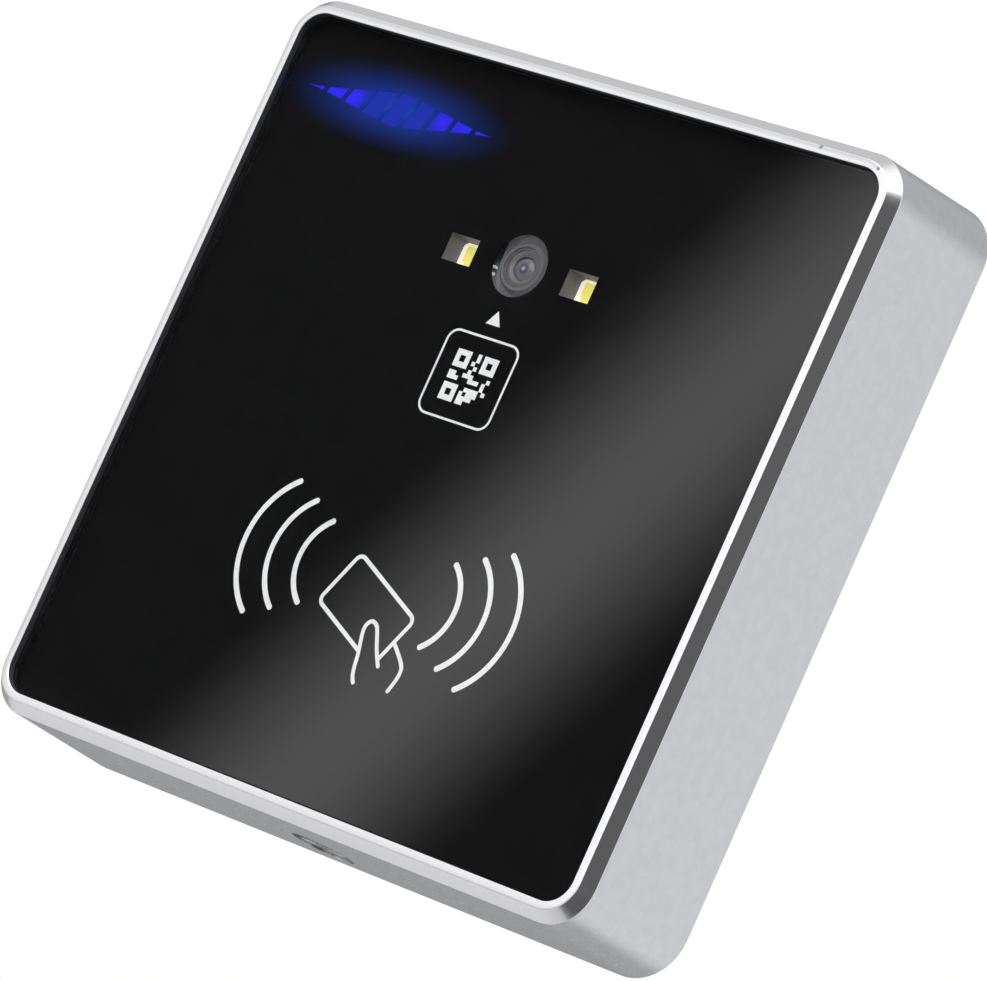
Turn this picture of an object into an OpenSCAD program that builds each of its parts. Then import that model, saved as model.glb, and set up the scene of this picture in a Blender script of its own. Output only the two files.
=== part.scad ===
// Wall reader for printed codes and cards: a cast square housing with a glass front, on a wall bracket.
// Every piece is drawn flat, X to the right, Y up and Z out from the wall, and is then stood upright.

/* [Housing] */
// Width and height of the housing at the wall
body_size = 86; // [77:0.5:100]
// Depth of the housing from the wall to its front rim
body_depth = 17.7; // [15.9:0.1:24]
// Outer corner radius of the housing at the wall
corner_r = 5.8; // [4.8:0.1:8]
// How far each outer wall leans in between the wall and the front chamfer
wall_draft = 0.8; // [0.2:0.1:1.2]
// Width of the cut front chamfer, seen from the front
chamfer_w = 1.2; // [0.6:0.1:1.6]
// Depth of the front chamfer
chamfer_h = 1.45; // [0.6:0.05:2]
// Width of the flat rim round the glass
land_w = 0.8; // [0.5:0.1:1.2]
// Small break along the edges of the chamfer and the rim
edge_break = 0.06; // [0.04:0.01:0.2]
// Thickness of the housing's wall at its back edge
wall_t = 2.2; // [1.8:0.1:2.6]
// How far each cavity wall leans in towards the front
cavity_draft = 0.4; // [0.1:0.1:0.6]
// Width of the ledge that carries the glass
ledge_w = 1.7; // [1.6:0.1:2.6]
// Thickness of that ledge
ledge_t = 1.5; // [1:0.1:2]

/* [Glass] */
// How far the glass lies below the rim
glass_recess = 0.7; // [0.2:0.1:1]
// Thickness of the glass
glass_t = 2; // [1.5:0.1:2.5]
// Gap round the glass in its pocket
glass_gap = 0.1; // [0.05:0.05:0.3]
// Width of the polished bevel on the glass's front edge
glass_bevel = 0.1; // [0.05:0.05:0.5]
// Clear bond between the glass and the mask film
bond_t = 0.05; // [0.03:0.01:0.1]
// Thickness of the black mask film
film_t = 0.15; // [0.1:0.05:0.3]
// Thickness of the tape between the film and the ledge
tape_t = 0.25; // [0.15:0.05:0.5]

/* [Windows] */
// Height of the lens above the middle of the face
camera_y = 20.4; // [17:0.1:22]
// Diameter of the camera window
camera_window_d = 7; // [6:0.1:8]
// Distance between the middles of the two fill-light windows
light_pitch = 16.54; // [15:0.02:19]
// Width of a fill-light window
light_window_w = 4.1; // [3.9:0.05:4.6]
// Height of a fill-light window
light_window_h = 3.05; // [3:0.05:3.6]
// Length of the indicator
indicator_length = 27.6; // [20:0.1:30]
// Height of the indicator in its middle
indicator_h = 3.8; // [2.4:0.1:4]
// Distance from the ledge's edge to the indicator's end
indicator_side = 0.6; // [0.6:0.1:4]
// Distance from the pocket's top edge down to the indicator's middle line
indicator_top = 7.6; // [6.6:0.1:9]
// Number of bars that the indicator is divided into
indicator_bars = 9; // [5:2:11]
// Gap between two bars of the indicator
indicator_gap = 0.5; // [0.3:0.05:0.8]
// Slant of the gaps between the bars, in degrees
indicator_slant = 20; // [0:1:30]

/* [Main board] */
// Thickness of the main board
board_t = 1.6; // [1:0.1:1.8]
// Distance from the mask film to the main board
board_gap = 3.15; // [2.8:0.05:3.5]
// Gap between the board's edge and the cavity's wall
board_edge_gap = 1.8; // [1:0.1:2.4]
// Distance from the board's edge to its screws
board_screw_inset = 2.2; // [2:0.1:3]
// Height of the board's screws above and below the middle
board_screw_y = 20; // [14:0.5:24]
// Width of the cast pads that the board is screwed to
pad_w = 6; // [5:0.1:8]
// Gap kept between the board's lens hole and the holder's neck
lens_hole_gap = 0.4; // [0.2:0.05:0.5]

/* [Lights] */
// Width of a fill-light package
led_w = 3.7; // [3:0.05:3.8]
// Height of a fill-light package
led_h = 2.8; // [2.4:0.05:2.9]
// Thickness of a fill-light package
led_t = 0.75; // [0.5:0.05:1]
// Width of the white frame round the phosphor
led_frame = 0.25; // [0.2:0.05:0.5]
// Width of that frame on the left of the phosphor
led_side_frame = 0.5; // [0.4:0.05:0.8]
// Size of the package's cut upper left corner
led_cut = 0.4; // [0.2:0.05:0.8]
// Size of the phosphor's cut lower left corner, which marks the polarity
phosphor_cut = 0.6; // [0.3:0.05:0.8]
// Depth of the phosphor in its package
phosphor_t = 0.35; // [0.2:0.05:0.4]
// Wall of the grey wells round the fill lights
baffle_wall = 0.4; // [0.3:0.05:0.6]
// Half height of the baffle's frame
baffle_reach = 5.9; // [5.4:0.1:7]
// Width and height of the baffle frame's bars
baffle_bar = 1; // [0.8:0.1:1.4]
// How far the diffuser stands out round the indicator's slots
diffuser_margin = 0.4; // [0.2:0.05:0.5]
// Number of blue chips under the indicator
indicator_leds_n = 4; // [2:1:5]
// Distance between two blue chips
indicator_led_pitch = 5; // [4:0.1:5]
// Width of a blue chip
indicator_led_w = 1.6; // [1:0.1:2]
// Height of a blue chip
indicator_led_h = 0.8; // [0.5:0.1:1.2]
// Thickness of a blue chip
indicator_led_t = 0.6; // [0.3:0.1:0.8]

/* [Scan engine] */
// Gap between the sensor board and the rear cover
engine_gap = 1.9; // [1.5:0.1:2.2]
// Outer diameter of the holder's tube
holder_d = 5.8; // [5.4:0.1:6.2]
// Bore of the holder's tube
holder_bore = 4.6; // [4.2:0.1:4.8]
// Width of the holder's square foot
holder_foot = 9.6; // [9:0.1:10.4]
// Gap between the holder's foot and the main board
holder_foot_gap = 0.4; // [0.2:0.05:0.6]
// Width of the holder's square neck, which comes through the board
holder_neck = 7.3; // [7:0.1:7.6]
// How far the neck's face lies below the front of the holder's tube
neck_drop = 0.85; // [0.5:0.05:1.2]
// Gap between the mask film and the lens holder
lens_gap = 0.3; // [0.2:0.05:0.6]
// How far the lens barrel lies below the holder's front
barrel_recess = 0.1; // [0.05:0.05:0.4]
// Diameter of the front lens
lens_d = 3.2; // [2.8:0.1:3.4]
// Front radius of the front lens
lens_dome_r = 2.6; // [2.2:0.1:4]
// Thickness of the lens at its edge
lens_edge_t = 1.45; // [1:0.05:1.8]
// Width of the image sensor
sensor_w = 5.6; // [4:0.1:6.4]
// Height of the image sensor
sensor_h = 4.8; // [4:0.1:6]
// Thickness of the image sensor
sensor_t = 1; // [0.6:0.1:1.4]
// Width of the sensor board
sensor_board_w = 22.4; // [21.6:0.1:26]
// Height of the sensor board
sensor_board_h = 16; // [15.6:0.1:18]
// Thickness of the sensor board
sensor_board_t = 1; // [0.8:0.1:1.2]
// Distance between the two spacers
spacer_pitch = 17.6; // [16:0.1:18]
// Diameter of a spacer
spacer_d = 4; // [3.6:0.1:4.4]

/* [Board parts] */
// Diameter of the buzzer
buzzer_d = 12; // [9:0.5:14]
// Gap between the buzzer and the rear cover
buzzer_gap = 1.55; // [1:0.05:2.5]
// Diameter of the supply capacitor
capacitor_d = 6.3; // [5:0.1:8]
// Gap between the supply capacitor and the rear cover
capacitor_gap = 1.35; // [1:0.05:2.5]
// Width of the decoder chip
decoder_w = 10; // [7:0.5:12]
// Width of the card chip
card_chip_w = 5; // [4:0.5:7]
// Turns of the card antenna
antenna_turns = 5; // [3:1:7]
// Distance between two turns of the antenna
antenna_pitch = 1.2; // [1:0.1:1.6]
// Width of the antenna's copper track
antenna_track = 0.6; // [0.4:0.05:0.8]
// Width of the antenna
antenna_w = 60; // [50:0.5:66]
// Height of the antenna
antenna_h = 31; // [26:0.5:34]
// Number of pins in the wire connector
pin_count = 8; // [4:1:10]
// Distance between two pins
pin_pitch = 2; // [1.6:0.1:2.2]
// How far the wire connector stays in front of the rear cover
connector_gap = 1.3; // [1.2:0.05:1.6]
// Height of the wire connector's middle, below the middle of the face
connector_drop = 14; // [13:0.1:15]

/* [Rear cover] */
// Thickness of the rear cover
cover_t = 1.6; // [1.2:0.1:1.8]
// Gap between the rear cover's edge and the cavity at the wall
cover_gap = 0.5; // [0.45:0.05:0.8]
// Diameter of the cast bosses that the cover is screwed to
boss_d = 6; // [5.4:0.1:6.4]
// Distance from the cavity's wall to a boss's middle
boss_inset = 3.9; // [3.6:0.1:4.2]
// Room left round the wire connector in the cover's opening
connector_room = 2; // [1:0.1:4]

/* [Wall bracket] */
// Thickness of the bracket's steel
bracket_t = 1.2; // [1:0.1:1.4]
// Distance from the bracket's side to the middle of a wall slot
slot_inset = 8.2; // [7:0.1:9]
// Width of a wall slot
slot_w = 4.4; // [3.6:0.1:5]
// Length of a wall slot
slot_length = 8; // [6:0.1:9]
// Gap between the bracket and the rear cover that hangs on it
hang_gap = 0.3; // [0.2:0.05:0.4]
// Distance from the cavity's wall to the bracket's sides
bracket_side_gap = 2.6; // [2:0.1:3]
// Distance from the cavity's wall to the bracket's top and bottom edges
bracket_end_gap = 4.3; // [3:0.1:5]
// Width of the opening for the wires
wire_opening_w = 40; // [30:0.5:44]
// Height of the opening for the wires
wire_opening_h = 32; // [24:0.5:34]
// How far the middle of that opening lies above the wire connector
wire_opening_lift = 7; // [5:0.5:8]
// Distance between the two hooks
hook_pitch = 44; // [38:0.5:52]
// Distance from the bracket's top edge down to the hooks
hook_drop = 11.5; // [10.5:0.1:12.5]
// Width of a hook
hook_w = 8; // [6:0.1:10]
// Height of a hook
hook_h = 6; // [4:0.1:6.5]
// Width of the lug that the lock screw holds
lug_w = 18; // [14:0.5:22]
// Distance from the wall to the lock screw
lock_z = 6; // [5.4:0.1:6.4]

/* [Fasteners] */
// Thread of the lock screw
lock_screw_d = 3; // [2.5:0.1:3.5]
// Head of the lock screw
lock_head_d = 5.2; // [4.6:0.1:5.8]
// Depth of the lock screw's recess in the housing
lock_recess = 1.1; // [0.8:0.1:1.3]
// Diameter of that recess
lock_recess_d = 7.2; // [6.2:0.1:8]
// Thread of the cover screws
cover_screw_d = 2.5; // [2:0.1:2.8]
// Thread of the board and engine screws
board_screw_d = 2; // [1.6:0.1:2.2]
// Length of a cover screw's thread in its boss
cover_screw_grip = 6; // [4:0.1:7]
// Length of a board screw's thread in its pad
board_screw_grip = 2; // [1.6:0.1:2.2]
// Room left in a blind hole beyond the screw's end
hole_end_room = 0.3; // [0.2:0.05:0.4]
// Gap between a screw's thread and its hole
thread_gap = 0.03; // [0.02:0.01:0.05]
// Gap between a screw and a hole that it passes through
pass_gap = 0.15; // [0.1:0.05:0.3]

/* [Hidden] */
$fn = 64;

// Overlap that lets a cut run clear through a face
through = 1;
// How far a cast rib or pad is rooted in the wall that carries it
root = 0.6;

// Plan sizes, as half widths from the middle
body_half = body_size / 2;
pocket_inset = wall_draft + chamfer_w + land_w;
pocket_half = body_half - pocket_inset;
pocket_r = corner_r - pocket_inset;
ledge_half = pocket_half - ledge_w;
ledge_r = max(pocket_r - ledge_w, 0.5);
cavity_half = body_half - wall_t;
cavity_r = corner_r - wall_t;
cavity_front_half = cavity_half - cavity_draft;
glass_half = pocket_half - glass_gap;
glass_r = pocket_r - glass_gap;
board_half = cavity_front_half - board_edge_gap;
cover_half = cavity_half - cover_gap;
cover_r = cavity_r - cover_gap;
bracket_half_w = cavity_half - bracket_side_gap;
bracket_half_h = cavity_half - bracket_end_gap;
slot_spacing = 2 * (bracket_half_w - slot_inset);
hook_y = bracket_half_h - hook_drop;

// Heights above the wall, from the front back
glass_front = body_depth - glass_recess;
glass_back = glass_front - glass_t;
film_front = glass_back - bond_t;
film_back = film_front - film_t;
ledge_front = film_back - tape_t;
ledge_back = ledge_front - ledge_t;
board_front = film_back - board_gap;
board_back = board_front - board_t;
lens_front = film_back - lens_gap;
neck_front = lens_front - neck_drop;
holder_foot_front = board_back - holder_foot_gap;
cover_back = bracket_t + hang_gap;
cover_front = cover_back + cover_t;
hook_back = cover_front + hang_gap;
sensor_board_back = cover_front + engine_gap;
sensor_face = sensor_board_back + sensor_board_t;

// Heights of the parts that fill the room between the main board and the rear cover
back_room = board_back - cover_front;
buzzer_h = back_room - buzzer_gap;
capacitor_h = back_room - capacitor_gap;
connector_h = back_room - connector_gap;

// Places that several pieces share
board_screw_x = board_half - board_screw_inset;
boss_c = cavity_half - boss_inset;
light_drop = 0.2;
light_y = camera_y - light_drop;
indicator_x = -(ledge_half - indicator_side - indicator_length / 2);
indicator_y = pocket_half - indicator_top;
connector_y = -connector_drop;
wire_opening_y = connector_y + wire_opening_lift;
connector_end = 1;
connector_w = pin_count * pin_pitch + 2 * connector_end;
connector_d = 6;
pin_w = 0.5;
buzzer_inset = 15.6;
capacitor_inset = 15.6;
chip_inset = 16.6;
buzzer_at = [buzzer_inset - board_half, 4];
capacitor_at = [board_half - capacitor_inset, 5];
decoder_at = [board_half - chip_inset, connector_y];
card_chip_at = [chip_inset - board_half, connector_y];
neck_r = 0.8;
lug_gap = 0.5;
lug_y = -(cavity_half - lug_gap);
lug_front = lock_z + 2;
lock_floor_y = -(body_half - wall_draft * lock_z / (body_depth - chamfer_h) - lock_recess);
lock_screw_l = 4.6;

// Pocket in the rear cover that the bracket's lug reaches into
lock_room = 0.5;
lock_wall = 1;
lock_pocket_w = lug_w + 2 * lock_room;
lock_pocket_y = lock_floor_y + lock_screw_l + lock_room;
lock_pocket_out = lock_pocket_y + lock_wall;
lock_pocket_front = lug_front + hang_gap;

// Countersunk heads of the cover screws
cover_csk_d = 2 * cover_screw_d;
cover_csk_h = 1.1;

// Lens barrel, which the front lens is held in
barrel_r = holder_bore / 2 - thread_gap;
barrel_front = lens_front - barrel_recess;
barrel_back = holder_foot_front - 0.8;
lens_r = lens_d / 2;
lens_fit = 0.02;
lip_r = lens_r - 0.25;
lip_front = barrel_front - 0.3;
lens_edge_front = lip_front - 0.2;
lens_edge_back = lens_edge_front - lens_edge_t;

// Stands a flat drawing upright, with its front facing -Y
module upright() {
    rotate([90, 0, 0])
        children();
}

// Puts a child at both ends of a distance along X
module pair(pitch) {
    for (side = [-1, 1])
        translate([side * pitch / 2, 0, 0])
            children();
}

// Puts a child in each corner of a square
module corners(x, y) {
    for (sx = [-1, 1], sy = [-1, 1])
        translate([sx * x, sy * y, 0])
            children();
}

// A box centred in plan, from one height to another
module plate(w, h, z0, z1) {
    translate([-w / 2, -h / 2, z0])
        cube([w, h, z1 - z0]);
}

// An upright round bar or hole from one height to another
module bar(d, z0, z1) {
    translate([0, 0, z0])
        cylinder(d = d, h = z1 - z0);
}

// A rounded rectangle whose rim runs through points of [inset, height], from its back up to its front
module rounded_block(half_w, half_h, r, rim) {
    cx = half_w - r;
    cy = half_h - r;
    last = len(rim) - 1;
    edge = [for (p = rim) [r - p[0], p[1]]];
    section = concat([[0, rim[0][1]]], edge, [[0, rim[last][1]]]);
    rotate([90, 0, 0])
        linear_extrude(2 * cy, center = true)
            polygon(concat([for (p = edge) [cx + p[0], p[1]]],
                [for (i = [last : -1 : 0]) [-cx - edge[i][0], edge[i][1]]]));
    for (side = [0, 1])
        mirror([0, side, 0])
            translate([0, cy, 0])
                rotate([90, 0, 90])
                    linear_extrude(2 * cx, center = true)
                        polygon(section);
    for (turn = [0 : 3])
        translate([(turn == 0 || turn == 3 ? 1 : -1) * cx, (turn < 2 ? 1 : -1) * cy, 0])
            rotate([0, 0, 90 * turn])
                rotate_extrude(angle = 90)
                    polygon(section);
}

// A rounded square plate from one height to another
module rounded_plate(half, r, z0, z1) {
    rounded_block(half, half, r, [[0, z0], [0, z1]]);
}

// A slot with round ends that runs along X
module slot(length, width, z0, z1) {
    pair(length - width)
        bar(width, z0, z1);
    plate(length - width, width, z0, z1);
}

// A glint: a symmetrical shape that swells in its middle and runs out in two slender tips
module glint(length, height, z0, z1) {
    steps = 16;
    swell = 1.3;
    taper = 1.5;
    upper = [for (i = [-steps : steps])
        [i / steps * length / 2, height / 2 * pow(1 - pow(abs(i) / steps, swell), taper)]];
    lower = [for (i = [2 * steps - 1 : -1 : 1]) [upper[i][0], -upper[i][1]]];
    translate([0, 0, z0])
        linear_extrude(z1 - z0)
            polygon(concat(upper, lower));
}

// A spindle: the shape common to two equal circles, of a given length and height
module spindle(length, height, z0, z1) {
    r = (pow(length, 2) + pow(height, 2)) / (4 * height);
    intersection() {
        translate([0, height / 2 - r, 0])
            bar(2 * r, z0, z1, $fn = 180);
        translate([0, r - height / 2, 0])
            bar(2 * r, z0, z1, $fn = 180);
    }
}

// A pan-head screw whose head's seat is at z = 0 and whose thread runs up
module pan_screw(d, head_d, head_h, length) {
    socket_d = 0.45 * head_d;
    difference() {
        union() {
            bar(head_d, -head_h, 0);
            bar(d, 0, length);
        }
        bar(socket_d, -head_h - through, -0.4 * head_h, $fn = 6);
    }
}

// Cast bosses for the cover's screws, each tied to its corner by two ribs
module cover_bosses() {
    rib_w = boss_d / 3;
    reach = cavity_half + root - boss_c;
    for (turn = [0 : 3])
        rotate([0, 0, 90 * turn])
            translate([boss_c, boss_c, 0]) {
                bar(boss_d, cover_front, ledge_front);
                translate([reach / 2, 0, 0])
                    plate(reach, rib_w, cover_front, ledge_front);
                translate([0, reach / 2, 0])
                    plate(rib_w, reach, cover_front, ledge_front);
            }
}

// Cast pads on the side walls that the main board is screwed against
module board_pads() {
    pad_in = board_screw_x - pad_w / 2;
    pad_out = cavity_front_half + root;
    for (side = [0, 1], up = [-1, 1])
        mirror([side, 0, 0])
            translate([(pad_in + pad_out) / 2, up * board_screw_y, 0])
                plate(pad_out - pad_in, pad_w, board_front, ledge_front);
}

// Recess and hole for the lock screw, through the bottom wall
module lock_hole() {
    translate([0, lock_floor_y, lock_z])
        rotate([90, 0, 0]) {
            bar(lock_recess_d, 0, lock_recess + wall_draft + through);
            bar(lock_screw_d + 2 * pass_gap, -wall_t, through);
        }
}

// Outer form of the housing: leaning walls, the chamfer and the rim, with their edges broken
module outer_form() {
    chamfer_foot = body_depth - chamfer_h;
    wall_share = 1 - edge_break / chamfer_foot;
    chamfer_share = edge_break / chamfer_h;
    rounded_block(body_half, body_half, corner_r, [[0, 0],
        [wall_share * wall_draft, wall_share * chamfer_foot],
        [wall_draft + chamfer_share * chamfer_w, chamfer_foot + edge_break],
        [wall_draft + (1 - chamfer_share) * chamfer_w, body_depth - edge_break],
        [wall_draft + chamfer_w + edge_break, body_depth]]);
}

module housing() {
    color("silver")
        upright()
            difference() {
                union() {
                    difference() {
                        outer_form();
                        rounded_block(cavity_half, cavity_half, cavity_r,
                            [[-cavity_draft * through / ledge_back, -through], [cavity_draft, ledge_back]]);
                        rounded_plate(ledge_half, ledge_r, ledge_back - through, ledge_front + through);
                        rounded_block(pocket_half, pocket_half, pocket_r, [[0, ledge_front],
                            [0, body_depth - edge_break], [-edge_break - through, body_depth + through]]);
                    }
                    cover_bosses();
                    board_pads();
                }
                corners(boss_c, boss_c)
                    bar(cover_screw_d + 2 * thread_gap, cover_front - through,
                        cover_front + cover_screw_grip + hole_end_room);
                corners(board_screw_x, board_screw_y)
                    bar(board_screw_d + 2 * thread_gap, board_front - through,
                        board_front + board_screw_grip + hole_end_room);
                lock_hole();
            }
}

module front_glass() {
    color([0.75, 0.85, 0.85, 0.35])
        upright()
            rounded_block(glass_half, glass_half, glass_r,
                [[0, glass_back], [0, glass_front - glass_bevel], [glass_bevel, glass_front]]);
}

// Slots of the indicator: a glint divided into bars by slanted gaps
module indicator_slots(z0, z1) {
    step = indicator_length / indicator_bars;
    translate([indicator_x, indicator_y, 0])
        difference() {
            glint(indicator_length, indicator_h, z0, z1);
            for (i = [1 : indicator_bars - 1])
                translate([-indicator_length / 2 + i * step, 0, 0])
                    rotate([0, 0, -indicator_slant])
                        plate(indicator_gap, 2 * indicator_h, z0 - through, z1 + through);
        }
}

module mask_film() {
    color([0.08, 0.08, 0.08])
        upright()
            difference() {
                rounded_plate(glass_half, glass_r, film_back, film_front);
                translate([0, camera_y, 0])
                    bar(camera_window_d, film_back - through, film_front + through);
                translate([0, light_y, 0])
                    pair(light_pitch)
                        plate(light_window_w, light_window_h, film_back - through, film_front + through);
                indicator_slots(film_back - through, film_front + through);
            }
}

module glass_tape() {
    color([0.15, 0.15, 0.15])
        upright()
            difference() {
                rounded_plate(glass_half, glass_r, ledge_front, film_back);
                rounded_plate(ledge_half, ledge_r, ledge_front - through, film_back + through);
            }
}

module main_board() {
    notch_gap = 0.6;
    notch_d = boss_d + 2 * notch_gap;
    lug_notch_w = lock_pocket_w + 2 * (lock_wall + notch_gap);
    lug_notch_out = lock_pocket_out + notch_gap;
    color([0.05, 0.35, 0.2])
        upright()
            difference() {
                plate(2 * board_half, 2 * board_half, board_back, board_front);
                corners(boss_c, boss_c)
                    bar(notch_d, board_back - through, board_front + through);
                corners(boss_c + notch_d / 2, boss_c + notch_d / 2)
                    plate(2 * notch_d, 2 * notch_d, board_back - through, board_front + through);
                translate([0, (lug_notch_out - board_half - through) / 2, 0])
                    plate(lug_notch_w, lug_notch_out + board_half + through, board_back - through,
                        board_front + through);
                corners(board_screw_x, board_screw_y)
                    bar(board_screw_d + 2 * pass_gap, board_back - through, board_front + through);
                translate([0, camera_y, 0])
                    rounded_plate(holder_neck / 2 + lens_hole_gap, neck_r + lens_hole_gap,
                        board_back - through, board_front + through);
            }
}

// Copper spiral on the board's front, as bars that run in towards the middle
module antenna_coil() {
    track_t = 0.1;
    edge_gap = 0.8;
    low = lock_pocket_out + edge_gap + antenna_track;
    color([0.72, 0.45, 0.2])
        upright()
            for (turn = [0 : antenna_turns - 1]) {
                inset = turn * antenna_pitch;
                x = antenna_w / 2 - inset;
                y0 = low + inset;
                y1 = low + antenna_h - inset;
                track(-x, max(low, y0 - antenna_pitch), -x, y1, track_t);
                track(-x, y1, x, y1, track_t);
                track(x, y0, x, y1, track_t);
                track(-x + antenna_pitch, y0, x, y0, track_t);
            }
}

// One straight stretch of copper track between two points, along X or Y
module track(x0, y0, x1, y1, t) {
    translate([x0 - antenna_track / 2, y0 - antenna_track / 2, board_front])
        cube([x1 - x0 + antenna_track, y1 - y0 + antenna_track, t]);
}

// The phosphor of a fill light, or its place in the package
module phosphor(z0, z1) {
    left = led_side_frame - led_w / 2;
    right = led_w / 2 - led_frame;
    top = led_h / 2 - led_frame;
    translate([0, 0, z0])
        linear_extrude(z1 - z0)
            polygon([[left + phosphor_cut, -top], [right, -top], [right, top], [left, top],
                [left, phosphor_cut - top]]);
}

// The block of a fill light's package, before the phosphor's place is cut from it
module led_package(z0, z1) {
    right = led_w / 2;
    top = led_h / 2;
    translate([0, 0, z0])
        linear_extrude(z1 - z0)
            polygon([[-right, -top], [right, -top], [right, top], [led_cut - right, top],
                [-right, top - led_cut]]);
}

module fill_leds() {
    face = board_front + led_t;
    color("white")
        upright()
            translate([0, light_y, 0])
                pair(light_pitch)
                    difference() {
                        led_package(board_front, face);
                        phosphor(face - phosphor_t, face + through);
                    }
}

module led_phosphors() {
    dip = 0.04;
    face = board_front + led_t;
    color([0.95, 0.88, 0.3])
        upright()
            translate([0, light_y, 0])
                pair(light_pitch)
                    phosphor(face - phosphor_t, face - dip);
}

// Grey frame on the board with a deep rectangular well round each fill light
module light_baffle() {
    well_w = light_window_w + 2 * baffle_wall;
    well_h = light_window_h + 2 * baffle_wall;
    frame_w = light_pitch + well_w;
    film_gap = 0.1;
    well_front = film_back - film_gap;
    color([0.3, 0.3, 0.31])
        upright()
            translate([0, light_y, 0])
                difference() {
                    union() {
                        difference() {
                            plate(frame_w, 2 * baffle_reach, board_front, board_front + baffle_bar);
                            plate(frame_w - 2 * baffle_bar, 2 * (baffle_reach - baffle_bar),
                                board_front - through, board_front + baffle_bar + through);
                        }
                        pair(light_pitch)
                            plate(well_w, well_h, board_front, well_front);
                    }
                    pair(light_pitch)
                        plate(light_window_w, light_window_h, board_front - through, well_front + through);
                }
}

module indicator_leds() {
    first_x = indicator_x - (indicator_leds_n - 1) / 2 * indicator_led_pitch;
    color([0.3, 0.4, 0.95])
        upright()
            for (i = [0 : indicator_leds_n - 1])
                translate([first_x + i * indicator_led_pitch, indicator_y, 0])
                    plate(indicator_led_w, indicator_led_h, board_front, board_front + indicator_led_t);
}

module indicator_diffuser() {
    led_room = 0.2;
    film_gap = 0.05;
    led_row = (indicator_leds_n - 1) * indicator_led_pitch + indicator_led_w;
    color([0.85, 0.88, 0.95])
        upright()
            translate([indicator_x, indicator_y, 0])
                difference() {
                    spindle(indicator_length + 2 * diffuser_margin, indicator_h + 2 * diffuser_margin,
                        board_front, film_back - film_gap);
                    plate(led_row + 2 * led_room, indicator_led_h + 2 * led_room, board_front - through,
                        board_front + indicator_led_t + led_room);
                }
}

module chip_capacitors() {
    chip_w = 0.5;
    chip_h = 1;
    chip_t = 0.5;
    side_gap = 0.05;
    lens_drop = 0.7;
    low_gap = 4;
    low_pitch = 6;
    lens_side = light_pitch / 2 - light_window_w / 2 - baffle_wall - chip_w / 2 - side_gap;
    color([0.75, 0.68, 0.55])
        upright() {
            translate([0, camera_y - lens_drop, 0])
                pair(2 * lens_side)
                    plate(chip_w, chip_h, board_front, board_front + chip_t);
            translate([0, light_y - baffle_reach - low_gap, 0])
                pair(low_pitch)
                    plate(chip_w, chip_h, board_front, board_front + chip_t);
        }
}

module lens_holder() {
    foot_wall = 1;
    foot_roof = 0.6;
    foot_r = 1;
    cavity_front = holder_foot_front - foot_roof;
    bevel = 0.3;
    color([0.36, 0.36, 0.37])
        upright()
            translate([0, camera_y, 0])
                difference() {
                    union() {
                        rounded_plate(holder_foot / 2, foot_r, sensor_face, holder_foot_front);
                        rounded_plate(holder_neck / 2, neck_r, cavity_front, neck_front);
                        rotate_extrude()
                            polygon([[0, cavity_front], [holder_d / 2, cavity_front],
                                [holder_d / 2, lens_front - bevel], [holder_d / 2 - bevel, lens_front],
                                [0, lens_front]]);
                    }
                    bar(holder_bore, sensor_face - through, lens_front + through);
                    plate(holder_foot - 2 * foot_wall, holder_foot - 2 * foot_wall,
                        sensor_face - through, cavity_front);
                }
}

// Turned barrel: a raised rim, a narrow shelf, a cone in to the lip and a seat behind it for the lens
module lens_barrel() {
    rim_w = 0.25;
    shelf_w = 0.3;
    shelf_front = barrel_front - 0.12;
    bore_r = lens_r - 0.4;
    color([0.2, 0.2, 0.21])
        upright()
            translate([0, camera_y, 0])
                rotate_extrude()
                    polygon([[barrel_r, barrel_back], [barrel_r, barrel_front],
                        [barrel_r - rim_w, barrel_front], [barrel_r - rim_w, shelf_front],
                        [barrel_r - rim_w - shelf_w, shelf_front],
                        [lip_r, lip_front], [lip_r, lens_edge_front], [lens_r, lens_edge_front],
                        [lens_r, lens_edge_back], [bore_r, lens_edge_back], [bore_r, barrel_back]]);
}

module front_lens() {
    dome_r = lip_r - lens_fit;
    dome_c = lens_edge_front - lens_fit - sqrt(pow(lens_dome_r, 2) - pow(dome_r, 2));
    color([0.5, 0.45, 0.75, 0.6])
        upright()
            translate([0, camera_y, 0]) {
                bar(2 * (lens_r - lens_fit), lens_edge_back + lens_fit, lens_edge_front - lens_fit);
                intersection() {
                    translate([0, 0, dome_c])
                        sphere(lens_dome_r);
                    bar(2 * dome_r, lens_edge_front - 2 * lens_fit, lens_edge_front + lens_dome_r);
                }
            }
}

module image_sensor() {
    color([0.15, 0.15, 0.2])
        upright()
            translate([0, camera_y, 0])
                plate(sensor_w, sensor_h, sensor_face, sensor_face + sensor_t);
}

module sensor_board() {
    color([0.05, 0.35, 0.2])
        upright()
            translate([0, camera_y, 0])
                difference() {
                    plate(sensor_board_w, sensor_board_h, sensor_board_back, sensor_face);
                    pair(spacer_pitch)
                        bar(board_screw_d + 2 * pass_gap, sensor_board_back - through, sensor_face + through);
                }
}

module engine_connector() {
    width = 10;
    depth = 2.2;
    holder_gap = 0.3;
    color([0.9, 0.88, 0.8])
        upright()
            translate([0, camera_y - holder_foot / 2 - depth / 2 - holder_gap, 0])
                plate(width, depth, sensor_face, board_back);
}

module engine_spacers() {
    color([0.8, 0.65, 0.3])
        upright()
            translate([0, camera_y, 0])
                pair(spacer_pitch)
                    difference() {
                        bar(spacer_d, sensor_face, board_back);
                        bar(board_screw_d + 2 * thread_gap, sensor_face - through, board_back + through);
                    }
}

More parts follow.
